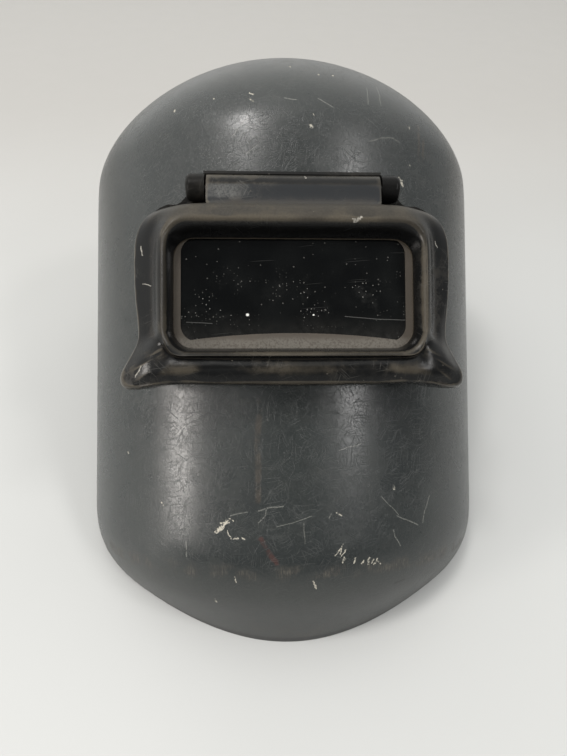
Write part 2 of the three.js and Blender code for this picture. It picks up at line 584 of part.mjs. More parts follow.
// One closed loop of the lift front: pocket, lip, well, rim, outside, skirt and back
function frameLoop(share, leaf) {
  const section = frameSection(share);
  const glass = [POCKET_HALF_WIDTH, GLASS_CENTRE - POCKET_HALF_HEIGHT, GLASS_CENTRE + POCKET_HALF_HEIGHT, PLATE_CORNER];
  const sight = [SIGHT_HALF_WIDTH, GLASS_CENTRE - SIGHT_HALF_HEIGHT, GLASS_CENTRE + SIGHT_HALF_HEIGHT,
    SIGHT_CORNER];
  const rim = [RIM_HALF_WIDTH, RIM_BOTTOM, RIM_TOP, RIM_CORNER];
  const [pocketX, pocketUp] = roundTheWindow(share, ...glass);
  const [sightX, sightUp] = roundTheWindow(share, ...sight);
  const [rimX, rimUp] = roundTheWindow(share, ...rim);
  const outlineX = share <= LEAF_SHARE ? LEAF_HALF_WIDTH * share / LEAF_SHARE
    : section.x * FRAME_HALF_WIDTH;
  const outlineUp = lerp(FRAME_BOTTOM, FRAME_TOP, section.up);
  const depth = (height) => FRAME_BACK + height * FRAME_DEPTH;
  const at = (out, ahead) => [lerp(rimX, outlineX, out), ahead, lerp(rimUp, outlineUp, out)];
  const edge = depth(section.edge);
  const skirtBack = Math.min(FRAME_BACK, Math.max(depth(section.skirt), shellAhead(outlineX) + SKIRT_GAP));
  const loop = [
    [pocketX, FRAME_BACK, pocketUp],
    [pocketX, POCKET_FRONT, pocketUp],
    [sightX, POCKET_FRONT, sightUp],
    [sightX, LIP_FRONT, sightUp],
    [(sightX + rimX) / 2, lerp(LIP_FRONT, RIM_FRONT, 0.55), (sightUp + rimUp) / 2],
    [rimX, RIM_FRONT - RIM_ROUND, rimUp],
    at(CREST_OUT, RIM_FRONT),
    at(section.ridgeOut, depth(section.ridge)),
    at(section.dipOut, depth(section.dip)),
    at(section.swellOut, depth(section.swell)),
  ];
  if (leaf) {
    for (const [ahead, up] of leafPath()) loop.push([outlineX, ahead, up]);
    loop.push(at(SKIRT_OUT, skirtBack));
  } else {
    loop.push(at(section.rollOut, depth(section.roll)));
    for (let step = 1; step <= EDGE_STEPS; step += 1) {
      const turn = step / EDGE_STEPS * Math.PI / 2;
      loop.push(at(lerp(section.rollOut, 1, Math.sin(turn)), lerp(edge, depth(section.roll), Math.cos(turn))));
    }
    for (let step = 1; step <= SKIRT_STEPS; step += 1) {
      loop.push(at(lerp(1, SKIRT_OUT, step / SKIRT_STEPS), lerp(edge, skirtBack, step / SKIRT_STEPS)));
    }
  }
  const [holderX, holderUp] = insideSkirt(share, loop[loop.length - 1]);
  loop.push([holderX, skirtBack, holderUp], [holderX, FRAME_BACK, holderUp]);
  return loop;
}

// Where the skirt's inner face runs: just outside the fixed holder's sides and bottom
function insideSkirt(share, outer) {
  const straightEnd = HOLDER_BOTTOM + HOLDER_LOW_CORNER;
  if (share < CORNER_END) return [lerp(0, outer[0], 0.93), outer[2] - 2.5];
  if (share <= SIDE_END) return [SKIRT_INSIDE, outer[2]];
  const radius = HOLDER_LOW_CORNER + SEAT_GAP;
  const turnStart = 0.6;
  const turnEnd = 0.76;
  if (share <= turnStart) {
    return [SKIRT_INSIDE, Math.max(outer[2], straightEnd)];
  }
  if (share < turnEnd) {
    const turn = (share - turnStart) / (turnEnd - turnStart) * Math.PI / 2;
    return [SKIRT_INSIDE - radius + radius * Math.cos(turn), straightEnd - radius * Math.sin(turn)];
  }
  return [Math.min(outer[0], SKIRT_INSIDE - radius), SKIRT_FLOOR];
}

function frameGeometry() {
  const half = [];
  for (const share of FRAME_STATIONS) {
    half.push(frameLoop(share, share <= LEAF_SHARE));
    if (share === LEAF_SHARE) half.push(frameLoop(share, false));
  }
  const mirrored = half.map((loop) => loop.map(([x, ahead, up]) => [-x, ahead, up])).reverse();
  const rings = [frameLoop(0, true), ...half, frameLoop(1, false), ...mirrored];
  const faces = [];
  rings.forEach((ring, i) => {
    const next = rings[(i + 1) % rings.length];
    ring.forEach((point, j) => {
      const k = (j + 1) % ring.length;
      faces.push([point, ring[k], next[k], next[j]]);
    });
  });
  const ring = toManifold(solidFromFaces(faces));
  const bore = toManifold(rod(PIN_RADIUS + PIN_PLAY, -KNUCKLE_START, KNUCKLE_START, 16));
  return fromManifold(ring.subtract(bore));
}

// Outline of the fixed holder, with the raised part that carries the hinge
function holderOutline() {
  const gusset = KNUCKLE_END + GUSSET_WIDTH;
  const low = HOLDER_LOW_CORNER;
  const high = HOLDER_TOP_CORNER;
  const outline = new THREE.Shape();
  outline.moveTo(-HOLDER_HALF_WIDTH + low, HOLDER_BOTTOM);
  outline.lineTo(HOLDER_HALF_WIDTH - low, HOLDER_BOTTOM);
  outline.absarc(HOLDER_HALF_WIDTH - low, HOLDER_BOTTOM + low, low, -Math.PI / 2, 0);
  outline.lineTo(HOLDER_HALF_WIDTH, HOLDER_TOP - high);
  outline.absarc(HOLDER_HALF_WIDTH - high, HOLDER_TOP - high, high, 0, Math.PI / 2 - 0.3);
  outline.lineTo(gusset, HOLDER_TOP);
  outline.quadraticCurveTo(KNUCKLE_END + 1, HOLDER_TOP + 2, KNUCKLE_END, HINGE_HEIGHT + 1);
  outline.lineTo(KNUCKLE_END, LEDGE_TOP - KNUCKLE_DOME);
  outline.lineTo(KNUCKLE_END - KNUCKLE_DOME, LEDGE_TOP);
  outline.lineTo(-KNUCKLE_END + KNUCKLE_DOME, LEDGE_TOP);
  outline.lineTo(-KNUCKLE_END, LEDGE_TOP - KNUCKLE_DOME);
  outline.lineTo(-KNUCKLE_END, HINGE_HEIGHT + 1);
  outline.quadraticCurveTo(-KNUCKLE_END - 1, HOLDER_TOP + 2, -gusset, HOLDER_TOP);
  outline.lineTo(-HOLDER_HALF_WIDTH + high - high * Math.sin(0.3), HOLDER_TOP - high + high * Math.cos(0.3));
  outline.absarc(-HOLDER_HALF_WIDTH + high, HOLDER_TOP - high, high, Math.PI / 2 + 0.3, Math.PI);
  outline.lineTo(-HOLDER_HALF_WIDTH, HOLDER_BOTTOM + low);
  outline.absarc(-HOLDER_HALF_WIDTH + low, HOLDER_BOTTOM + low, low, Math.PI, 1.5 * Math.PI);
  return outline;
}

function box(xFrom, xTo, back, front, low, high) {
  const outline = new THREE.Shape([[xFrom, low], [xTo, low], [xTo, high], [xFrom, high]]
    .map(([x, up]) => new THREE.Vector2(x, up)));
  return toManifold(prism(outline, back, front));
}

// A hinge knuckle with a domed outer end
function knuckle(side) {
  const profile = [new THREE.Vector2(0, 0)];
  profile.push(new THREE.Vector2(BARREL_RADIUS, 0));
  for (let step = 0; step <= 5; step += 1) {
    const turn = step / 5 * Math.PI / 2;
    profile.push(new THREE.Vector2(BARREL_RADIUS - KNUCKLE_DOME * (1 - Math.cos(turn)),
      KNUCKLE_LENGTH - KNUCKLE_DOME * (1 - Math.sin(turn))));
  }
  profile.push(new THREE.Vector2(0, KNUCKLE_LENGTH));
  const geometry = new THREE.LatheGeometry(profile, 32);
  geometry.rotateZ(-side * Math.PI / 2);
  geometry.translate(side * KNUCKLE_START, -HINGE_AHEAD, HINGE_HEIGHT);
  return toManifold(geometry);
}

function holderGeometry() {
  const deepest = SHELL_FRONT_REACH / 2;
  const seat = HOLDER_TOP - BARREL_GAP;
  let body = toManifold(prism(holderOutline(), deepest, HOLDER_FACE));
  body = body.subtract(box(-KNUCKLE_START, KNUCKLE_START, HINGE_RECESS, RIM_FRONT, seat, LEDGE_LOW));
  for (const side of [1, -1]) {
    const [near, far] = [side * KNUCKLE_START, side * HOLDER_HALF_WIDTH].sort((a, b) => a - b);
    body = body.subtract(box(near, far, HINGE_RECESS, RIM_FRONT, seat, 2 * LEDGE_TOP - LEDGE_LOW));
  }
  const [root, nose] = [HINGE_RECESS - LEDGE_THICKNESS, LEDGE_AHEAD + LEDGE_THICKNESS / 6];
  body = body.add(toManifold(bar([[root, LEDGE_LOW], [LEDGE_AHEAD, LEDGE_LOW],
    [nose, lerp(LEDGE_LOW, LEDGE_TOP, 1 / 3)], [LEDGE_AHEAD - LEDGE_THICKNESS / 4, LEDGE_TOP],
    [root, LEDGE_TOP]], -KNUCKLE_START - 1, KNUCKLE_START + 1)));
  for (const side of [1, -1]) {
    const [near, far] = [side * KNUCKLE_START, side * (KNUCKLE_END - KNUCKLE_DOME)].sort((a, b) => a - b);
    body = body.add(box(near, far, root, HINGE_AHEAD, HINGE_HEIGHT - ARM_HALF_HEIGHT,
      HINGE_HEIGHT + ARM_HALF_HEIGHT)).add(knuckle(side));
  }
  body = body.subtract(toManifold(rod(PIN_RADIUS + PIN_PLAY, -HOLDER_HALF_WIDTH, HOLDER_HALF_WIDTH, 16)));
  body = body.subtract(shellEnvelope(SHELL_GAP));
  const narrowed = SHELL_WALL * WINDOW_HALF_WIDTH / SHELL_HALF_WIDTH;
  const sleeveHalf = [WINDOW_HALF_WIDTH - narrowed - SHELL_GAP, WINDOW_HALF_HEIGHT - SHELL_GAP];
  const sleeve = toManifold(prism(plateOutline(...sleeveHalf, 1), deepest, SHELL_FRONT_REACH + 1))
    .subtract(shellEnvelope(-SHELL_WALL - SLEEVE_REACH));
  body = body.add(sleeve);
  const throat = [sleeveHalf[0] - SLEEVE_WALL, sleeveHalf[1] - SLEEVE_WALL];
  body = body.subtract(toManifold(prism(plateOutline(...throat, 3), deepest - 5, HOLDER_FACE + 5)));
  const groove = plateOutline(POCKET_HALF_WIDTH, POCKET_HALF_HEIGHT, PLATE_CORNER);
  return fromManifold(body.subtract(toManifold(prism(groove, GROOVE_BACK, GROOVE_FRONT))));
}

// Plain ring on the inside of the shell, round the holder's sleeve
function clampGeometry() {
  const deepest = SHELL_FRONT_REACH / 2;
  const outer = plateOutline(WINDOW_HALF_WIDTH + CLAMP_BAND, WINDOW_HALF_HEIGHT + CLAMP_BAND, 6);
  const inner = plateOutline(WINDOW_HALF_WIDTH, WINDOW_HALF_HEIGHT, 1);
  const face = -SHELL_WALL - SHELL_GAP;
  return fromManifold(toManifold(prism(outer, deepest, SHELL_FRONT_REACH))
    .intersect(shellEnvelope(face))
    .subtract(shellEnvelope(face - CLAMP_THICKNESS))
    .subtract(toManifold(prism(inner, deepest - 5, HOLDER_FACE))));
}

function plateGeometry(back, thickness) {
  return prism(plateOutline(GLASS_WIDTH / 2, GLASS_HEIGHT / 2, PLATE_CORNER), back, back + thickness);
}

// The strip frame in front of the dark glass, whose lower strip is bowed up in the middle
function gasketGeometry() {
  const outline = plateOutline(GLASS_WIDTH / 2, GLASS_HEIGHT / 2, PLATE_CORNER);
  const sightLow = GLASS_CENTRE - SIGHT_HALF_HEIGHT;
  const high = GLASS_CENTRE + SIGHT_HALF_HEIGHT + 0.9;
  const low = sightLow + GASKET_STRIP;
  const x = GLASS_WIDTH / 2 - GASKET_SIDE_STRIP;
  const hole = new THREE.Path();
  hole.moveTo(-x, low);
  hole.quadraticCurveTo(0, low + 2 * GASKET_BOW, x, low);
  hole.lineTo(x, high);
  hole.lineTo(-x, high);
  hole.closePath();
  outline.holes.push(hole);
  return prism(outline, GASKET_BACK, GASKET_BACK + GASKET_THICKNESS, BOW_STEPS);
}

function retainerGeometry() {
  const outline = plateOutline(GLASS_WIDTH / 2, GLASS_HEIGHT / 2, PLATE_CORNER);
  outline.holes.push(plateOutline(SIGHT_HALF_WIDTH - 1, SIGHT_HALF_HEIGHT - 1, 2, THREE.Path));
  return prism(outline, RETAINER_BACK, RETAINER_BACK + RETAINER_THICKNESS);
}

function piece(name, geometry, material) {
  const mesh = new THREE.Mesh(geometry, material);
  mesh.name = name;
  return mesh;
}

const pieces = [
  piece('shell', shellGeometry(), SHELL_BLACK),
  piece('lens_base', holderGeometry(), MOULDED_BLACK),
  piece('base_clamp', clampGeometry(), MOULDED_BLACK),
  piece('clear_plate', plateGeometry(CLEAR_BACK, CLEAR_THICKNESS), CLEAR_GLASS),
  piece('lens_frame', frameGeometry(), MOULDED_BLACK),
  piece('lens_gasket', gasketGeometry(), GASKET_BROWN),
  piece('filter_lens', plateGeometry(FILTER_BACK, FILTER_THICKNESS), DARK_GLASS),
  piece('lens_retainer', retainerGeometry(), STEEL),
  piece('hinge_pin', rod(PIN_RADIUS, -KNUCKLE_END + 0.5, KNUCKLE_END - 0.5, 16), STEEL),
];

// The helmet leans back until its chin rim and its rear lower corners touch the ground
const upright = new THREE.Group();
upright.add(...pieces);
upright.rotation.x = -LEAN;

const helmet = new THREE.Group();
helmet.add(upright);
helmet.updateMatrixWorld(true);
const bounds = new THREE.Box3().setFromObject(upright, true);
upright.position.y -= (bounds.min.y + bounds.max.y) / 2;
upright.position.z -= bounds.min.z;

export default helmet;
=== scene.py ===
import math
from functools import reduce

import bpy
import numpy as np
from mathutils import Euler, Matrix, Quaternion, Vector


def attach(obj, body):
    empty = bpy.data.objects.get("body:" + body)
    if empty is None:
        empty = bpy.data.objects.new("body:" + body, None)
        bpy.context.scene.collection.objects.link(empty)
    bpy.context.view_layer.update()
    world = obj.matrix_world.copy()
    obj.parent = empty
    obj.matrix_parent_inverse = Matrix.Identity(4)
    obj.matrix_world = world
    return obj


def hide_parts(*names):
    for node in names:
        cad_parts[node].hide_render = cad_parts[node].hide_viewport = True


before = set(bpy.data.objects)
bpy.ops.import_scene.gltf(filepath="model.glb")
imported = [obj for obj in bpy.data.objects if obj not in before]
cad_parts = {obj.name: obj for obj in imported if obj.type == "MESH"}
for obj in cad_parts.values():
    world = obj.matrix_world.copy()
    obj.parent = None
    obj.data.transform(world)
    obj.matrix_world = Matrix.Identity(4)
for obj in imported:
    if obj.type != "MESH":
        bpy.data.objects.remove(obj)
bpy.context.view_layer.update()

# A welding helmet of dark moulded plastic that lies on its rim on a pale table. Its lift front is
# a thick black frame, hinged at its top, with a dark glass plate behind its window.
#
# Sizes are in millimetres and angles in degrees where nothing else is said. Places are taken on
# the helmet as it is worn: x across, ahead towards the lens (back is the other way), and up.
# Lying down, the helmet leans back by LEAN and is moved by REST_BACK and REST_UP.

MM = 0.001
LEAN = math.radians(48.3)
LEAN_COS, LEAN_SIN = math.cos(LEAN), math.sin(LEAN)
REST_BACK = 128.65
REST_UP = 58.4845

# Camera: its place in metres and its turn
CAMERA_PLACE = (-0.0151, -0.28263, 0.30149)
CAMERA_TURN = (43.65277, -1.61504, -1.85478)
CAMERA_LENS = 27.05
CAMERA_SENSOR = 36.0

# Studio lights: azimuth is measured from the camera's side of the helmet towards its right.
# name, azimuth, elevation, roll, distance m, width m, height m, power W, share of blue
LIGHTS = [
    ("window", -65, 16, 42, 1.9, 0.38, 0.7, 15.5, 0.9),
    ("right_panel", 47, 36, 0, 2.1, 0.3, 0.46, 7.2, 0.97),
    ("ceiling_left", -78, 70, 0, 2.2, 0.44, 0.44, 19.0, 0.95),
    ("ceiling_right", 65, 50, 0, 2.2, 0.42, 0.34, 8.5, 0.97),
]
# The place that all lights point at, in metres
LIT_MIDDLE = (0.0, -0.02, 0.1)
# The room's own light: dim towards the front and right, bright overhead and behind the helmet,
# with a dark patch over the front; a spread goes from no share of it to the full one
ROOM_DIM = (0.24, 0.25, 0.255, 1.0)
ROOM_BRIGHT = (1.36, 1.36, 1.32, 1.0)
ROOM_BRIGHT_TOWARDS = (-0.27, 0.5, 0.82)
ROOM_SPREAD = (-0.32, 0.95)
ROOM_SHADE = (0.07, 0.07, 0.07, 1.0)
ROOM_SHADE_TOWARDS = (0.066, -0.54, 0.84)
ROOM_SHADE_SPREAD = (0.93, 0.972)
# The table's half width in metres
TABLE_REACH = 3.0

# The seal strip's window: its edges, the strip's back and front, and its corners' rounding. A
# fillet starts WINDOW_OVERLAP inside the strip, so that the two join.
WINDOW_HALF_WIDTH = 48.4
WINDOW_LOW = 148.35
WINDOW_HIGH = 193.15
WINDOW_BACK = 128.6
WINDOW_FRONT = 129.2
WINDOW_CORNER = 7.0
WINDOW_CORNER_SIDES = 64
WINDOW_OVERLAP = 1.0

# Fine copies: points this near are merged, triangles that bend and skew less than this become
# four-sided faces, and edges flatter than SMOOTH_ANGLE are shaded smooth
MERGE_DISTANCE = 0.002
QUAD_BEND = 50
QUAD_SKEW = 60
SMOOTH_ANGLE = 40
ROUNDING_SEGMENTS = 2
FLAT_FACE_WEIGHT = 100

# Wear: a place inside the shell in metres, how sharply outside and inside are told apart, how
# often the wear is spread to the neighbouring points, and the shortest edge, in metres
INSIDE_MIDDLE = (0.0, -0.02, 0.05)
OUTER_SHARPNESS = 4.0
WEAR_SPREADS = 3
SHORTEST_EDGE = 1e-6

# Patterns: a pair gives where a mark starts to show and where it shows in full, a core is the
# share of a mark's radius that is full, and a tilt turns a scratch's slice out of the level
SCRATCH_FADE = (0.34, 0.2)
SCRATCH_TILT = 0.12
PICK_SOFTNESS = 0.02
SPECK_CORE = 0.5
FRONT_SPECK_SOFTNESS = 0.25
STROKE_CORE = 0.4
STROKE_DEPTH = (-20.0, -40.0)

# The sockets that a Mix node has for colours
MIX_SHARE, MIX_UNDER, MIX_OVER, MIX_RESULT = 0, 6, 7, 2


class Wire:
    """A value, vector or colour that leaves a node and takes part in arithmetic."""

    def __init__(self, nodes, socket):
        self.nodes = nodes
        self.socket = socket

    def reckon(self, operation, *values):
        """One step of arithmetic."""
        return self.nodes.node("Math", {"operation": operation}, dict(enumerate(values)))

    def __add__(self, other):
        return self.reckon("ADD", self, other)

    def __radd__(self, other):
        return self.reckon("ADD", other, self)

    def __sub__(self, other):
        return self.reckon("SUBTRACT", self, other)

    def __rsub__(self, other):
        return self.reckon("SUBTRACT", other, self)

    def __mul__(self, other):
        return self.reckon("MULTIPLY", self, other)

    def __rmul__(self, other):
        return self.reckon("MULTIPLY", other, self)

    def __truediv__(self, other):
        return self.reckon("DIVIDE", self, other)

    def larger(self, other):
        return self.reckon("MAXIMUM", self, other)

    def size(self):
        return self.reckon("ABSOLUTE", self)

    def rise(self, low, high):
        """0 below low and 1 above high, with a smooth step between; low may be the larger."""
        settings = {"interpolation_type": "SMOOTHSTEP"}
        inputs = dict(enumerate((self, low, high, 0.0, 1.0)))
        return self.nodes.node("MapRange", settings, inputs)

    def uneven(self, noise, reach):
        """The value moved up and down by noise, over reach in all."""
        return self + reach * (noise - 0.5)

    def picked(self, share, softness=PICK_SOFTNESS):
        """1 for a share of evenly spread random values and 0 for the others."""
        return self.rise(1.0 - share, 1.0 - share + softness)


class Nodes:
    """A node tree while it is filled."""

    def __init__(self, tree):
        self.tree = tree
        self.tree.nodes.clear()

    def node(self, kind, settings=None, inputs=None, output=0):
        """Adds a node with its settings and inputs, and gives the wire that leaves one output."""
        made = self.tree.nodes.new("ShaderNode" + kind)
        for name, value in (settings or {}).items():
            setattr(made, name, value)
        for name, value in (inputs or {}).items():
            if isinstance(value, Wire):
                self.tree.links.new(value.socket, made.inputs[name])
            else:
                made.inputs[name].default_value = value
        return Wire(self, made.outputs[output]) if made.outputs else None

    def apart(self, vector):
        """The three parts of a vector or colour."""
        outputs = self.node("SeparateXYZ", None, {0: vector}).socket.node.outputs
        return [Wire(self, outputs[axis]) for axis in range(3)]

    def together(self, x, y, z=0.0):
        """A vector of three parts."""
        return self.node("CombineXYZ", None, {0: x, 1: y, 2: z})

    def vector(self, operation, first, second):
        """One step of arithmetic on two vectors, which gives a vector, a product or a distance."""
        output = "Value" if operation in ("DOT_PRODUCT", "DISTANCE") else "Vector"
        return self.node("VectorMath", {"operation": operation}, {0: first, 1: second}, output)

    def stretch(self, vector, amount):
        return self.node("VectorMath", {"operation": "SCALE"}, {0: vector, "Scale": amount})

    def mix(self, share, under, over):
        """A colour with another over it by a share."""
        inputs = {MIX_SHARE: share, MIX_UNDER: under, MIX_OVER: over}
        return self.node("Mix", {"data_type": "RGBA"}, inputs, MIX_RESULT)


class Paint(Nodes):
    """A material while it is made: its nodes and the places that its patterns are laid out on."""

    def __init__(self, name):
        self.material = bpy.data.materials.new(name)
        self.material.use_nodes = True
        super().__init__(self.material.node_tree)
        shift = (
            0.0,
            REST_BACK * LEAN_COS - REST_UP * LEAN_SIN,
            REST_BACK * LEAN_SIN + REST_UP * LEAN_COS,
        )
        # lying is in metres from the origin, place in millimetres on the helmet as it is worn
        self.lying = self.node("TexCoord", output="Object")
        worn = {"Location": shift, "Rotation": (LEAN, 0, 0), "Scale": (1 / MM, 1 / MM, 1 / MM)}
        self.place = self.node("Mapping", {"vector_type": "POINT"}, {"Vector": self.lying, **worn})
        self.x, self.back, self.up = self.apart(self.place)

    def attribute(self, name):
        """What a piece's points were marked with: outer for its outside, proud for its edges."""
        return self.node("Attribute", {"attribute_name": name}, output="Fac")

    def noise(self, period, detail=2.0, place=None, roughness=0.5, output="Fac"):
        """Cloudy noise from 0 to 1 whose lumps are about period millimetres apart."""
        inputs = {"Vector": place or self.place, "Scale": 1.0 / period, "Detail": detail}
        inputs["Roughness"] = roughness
        return self.node("TexNoise", {"noise_dimensions": "3D"}, inputs, output)

    def wobble(self, period, reach):
        """The place on the helmet, pushed about by up to reach millimetres."""
        push = self.noise(period, 1.0, output="Color")
        push = self.vector("SUBTRACT", push, (0.5, 0.5, 0.5))
        return self.vector("ADD", self.place, self.stretch(push, 2.0 * reach))

    def cells(self, place, scale=1.0, dimensions="3D"):
        """Distance to the nearest of many scattered points, and a random share for each point."""
        inputs = {"Vector": place, "Scale": scale}
        distance = self.node("TexVoronoi", {"voronoi_dimensions": dimensions}, inputs, "Distance")
        colour = Wire(self, distance.socket.node.outputs["Color"])
        return distance, self.apart(colour)[0]

    def scratch_layer(self, place, angle, length, width, share):
        """Straight hairlines at an angle to the level, each on a thin slice of the solid."""
        turn = math.radians(angle)
        across = (-math.sin(turn), SCRATCH_TILT, math.cos(turn))
        along = (math.cos(turn), 0.0, math.sin(turn))
        depth = (0.0, 1.0, 0.0)
        slices = self.together(
            self.vector("DOT_PRODUCT", place, along) / length,
            self.vector("DOT_PRODUCT", place, depth) / length,
            self.vector("DOT_PRODUCT", place, across) / width,
        )
        distance, chance = self.cells(slices)
        return distance.rise(*SCRATCH_FADE) * chance.picked(share)

    def scratches(self, place, rows):
        """Layers of hairlines: each row is angle, length, width and share of slices with one."""
        return reduce(Wire.larger, [self.scratch_layer(place, *row) for row in rows])

    def specks(self, period, radius, share):
        """Scattered round specks."""
        distance, chance = self.cells(self.place, 1.0 / period)
        return distance.rise(radius / period, SPECK_CORE * radius / period) * chance.picked(share)

    def front_specks(self, period, radius, share):
        """Round specks of all sizes up to radius, scattered over a flat front."""
        place = self.together(self.x, self.up)
        distance, chance = self.cells(place, 1.0 / period, "2D")
        size = chance.picked(share, share)
        edge = size * radius / period - distance
        return edge.rise(0.0, FRONT_SPECK_SOFTNESS * radius / period)

    def stroke(self, flat, start_x, start_up, end_x, end_up, half_width):
        """One straight mark with round ends."""
        run = Vector((end_x - start_x, end_up - start_up, 0))
        from_start = self.vector("SUBTRACT", flat, (start_x, start_up, 0))
        share = self.vector("DOT_PRODUCT", from_start, tuple(run / run.length_squared))
        share = self.node("Clamp", None, {0: share})
        distance = self.vector("DISTANCE", from_start, self.stretch(tuple(run), share))
        return distance.rise(half_width, STROKE_CORE * half_width)

    def strokes(self, rows, place):
        """Marks drawn on the front of the helmet: each row is x, up, x, up and its half width."""
        x, _, up = self.apart(place)
        flat = self.together(x, up)
        marks = reduce(Wire.larger, [self.stroke(flat, *row) for row in rows])
        return marks * self.back.rise(*STROKE_DEPTH)

    def layered(self, ground, layers, masks):
        """Lays each layer's colour on the ground by its share, where its mask is 1."""
        colour = (*ground, 1.0)
        for name, (share, *tone) in layers.items():
            colour = self.mix(share * masks[name], colour, (*tone, 1.0))
        return colour

    def finish(self, colour, roughness, bumps, others=None):
        """Joins the shader. bumps are heights in millimetres, others its other inputs."""
        height = reduce(Wire.__add__, bumps)
        normal = self.node("Bump", None, {"Height": height, "Distance": MM})
        inputs = {"Base Color": colour, "Roughness": roughness, "Normal": normal}
        shader = self.node("BsdfPrincipled", None, {**inputs, **(others or {})})
        self.node("OutputMaterial", None, {"Surface": shader})
        return self.material


# Marks on the shell's front, each a short stroke: x, up, x, up, half width
PALE_CHIPS = [
    # the torn patch left of the middle, and the crumbs below it
    (-35.2, 64.0, -31.6, 65.4, 0.55),
    (-33.6, 65.0, -29.4, 68.9, 0.95),
    (-30.0, 69.9, -31.0, 66.2, 0.5),
    (-29.0, 70.3, -26.8, 69.2, 0.3),
    (-32.6, 68.0, -29.0, 68.2, 0.4),
    (-34.8, 63.4, -33.0, 65.2, 0.45),
    (-29.5, 64.3, -28.0, 61.4, 0.35),
    (-26.9, 61.0, -24.7, 61.4, 0.3),
    (-23.2, 62.4, -22.0, 60.9, 0.35),
    # the row of nicks right of the middle
    (18.8, 53.3, 22.3, 58.4, 0.35),
    (20.8, 53.6, 21.5, 57.3, 0.35),
    (21.2, 52.0, 23.4, 55.7, 0.4),
    (22.4, 49.9, 22.8, 51.9, 0.5),
    (27.5, 49.2, 28.4, 51.7, 0.5),
    (31.1, 48.5, 32.3, 49.9, 0.45),
    (34.3, 48.1, 34.9, 50.7, 0.5),
    (36.0, 48.2, 36.9, 50.0, 0.45),
    (37.3, 47.2, 38.9, 49.8, 0.5),
    (39.3, 48.6, 40.7, 47.3, 0.4),
    # single chips
    (19.4, 72.5, 21.4, 71.3, 0.5),
    (47.4, 83.0, 47.7, 81.2, 0.5),
    (-61.6, 75.0, -60.7, 74.2, 0.45),
    (-80.6, 97.5, -80.2, 96.6, 0.4),
    (-36.1, 30.3, -35.6, 28.1, 0.4),
    (8.8, 41.5, 10.5, 37.2, 0.5),
    (-26.6, 43.8, -25.8, 40.5, 0.4),
    # on the dome
    (8.9, 248.3, 9.1, 247.9, 1.0),
    (-36.1, 264.9, -35.9, 264.4, 0.5),
    (-55.7, 263.3, -55.5, 262.8, 0.5),
    (58.7, 237.2, 58.9, 236.9, 0.5),
    (0.3, 284.3, 0.5, 283.6, 0.5),
    (13.6, 278.3, 13.9, 277.8, 0.45),
    (20.7, 278.9, 21.3, 278.6, 0.4),
    (-19.1, 265.2, -17.3, 264.5, 0.5),
    (-19.0, 262.9, -17.6, 260.6, 0.45),
    (58.9, 256.4, 59.1, 256.1, 0.6),
    (10.1, 254.0, 10.7, 253.4, 0.4),
    # beside the hinge
    (52.4, 229.3, 54.5, 225.9, 0.8),
    (52.6, 227.6, 54.2, 228.6, 0.5),
]
LONG_MARKS = [
    (-15.7, 74.2, -11.3, 75.0, 0.35),
    (-11.3, 75.0, -4.6, 75.8, 0.35),
    (-11.7, 74.7, -12.5, 71.7, 0.3),
    (-12.5, 71.7, -15.6, 68.6, 0.3),
    (-28.4, 71.3, -20.8, 73.4, 0.3),
    (16.0, 70.5, 17.1, 72.4, 0.3),
    (48.8, 68.7, 54.2, 66.5, 0.3),
    (54.2, 66.5, 60.4, 62.8, 0.35),
    (63.8, 63.5, 65.0, 69.4, 0.35),
    (65.0, 69.4, 67.8, 75.7, 0.35),
    (47.1, 62.7, 48.3, 59.2, 0.3),
    (48.3, 59.2, 51.0, 54.1, 0.3),
    (-48.7, 58.4, -48.9, 51.4, 0.35),
    (-7.6, 67.0, 8.0, 71.2, 0.22),
    (41.1, 78.3, 49.7, 69.1, 0.25),
    (4.2, 68.4, 4.6, 59.6, 0.22),
    (-54.5, 107.1, -49.5, 111.8, 0.25),
    (20.4, 100.5, 31.5, 103.2, 0.25),
    (12.6, 262.0, 20.5, 258.0, 0.3),
    (-3.5, 261.8, 2.6, 260.8, 0.3),
    (37.5, 274.2, 36.9, 263.4, 0.25),
    (43.4, 277.5, 44.4, 264.5, 0.25),
    (36.8, 244.2, 43.2, 246.9, 0.3),
    (43.2, 246.9, 49.4, 248.0, 0.3),
    (49.4, 248.0, 53.1, 247.0, 0.3),
    (-20.7, 235.5, -15.8, 239.1, 0.25),
    (-27.3, 244.6, -20.4, 251.8, 0.25),
]
DARK_NICKS = [(49.3, 35.3, 54.5, 36.0, 0.7), (-47.2, 264.9, -43.5, 267.1, 0.35)]
RED_STAIN = [(-14.7, 61.4, -12.5, 58.2, 1.5), (-11.4, 55.6, -7.7, 50.8, 1.7)]
BROWN_STREAKS = [
    (64.9, 260.0, 64.4, 241.2, 0.9),
    (67.2, 252.4, 66.9, 239.5, 0.8),
    (-15.0, 123.0, -14.6, 119.0, 1.6),
    (-15.2, 116.0, -16.2, 78.0, 1.9),
]
# Fine scratches that cover the shell: angle, length, width, share of slices that carry one
SHELL_SCRATCHES = [
    (6, 15, 0.48, 0.28),
    (31, 10, 0.36, 0.34),
    (58, 13, 0.5, 0.26),
    (84, 17, 0.36, 0.32),
    (112, 10, 0.46, 0.28),
    (146, 14, 0.36, 0.32),
]
# Heights on the shell: the worn line where its front turns under, the chin below it, which is
# painted lighter as a reflection of the table, the grimy rim, the dusty crown, and the painted
# contact shadow at the edge, which is measured up from the table
TURN_UP = 45.5
CHIN_REFLECTION_UP = 44.0
RIM_UP = 8.0
CROWN_UP = 262.0
CONTACT_SHADOW_UP = 4.5
# The turn shows on the front alone, from the first of these places to the second
TURN_DEPTH = (-30.0, -60.0)
# The hatching of the turn: how thick its strands are across, how deep, and how tall
HATCH_WIDTH, HATCH_DEPTH, HATCH_HEIGHT = 0.5, 4.0, 3.0
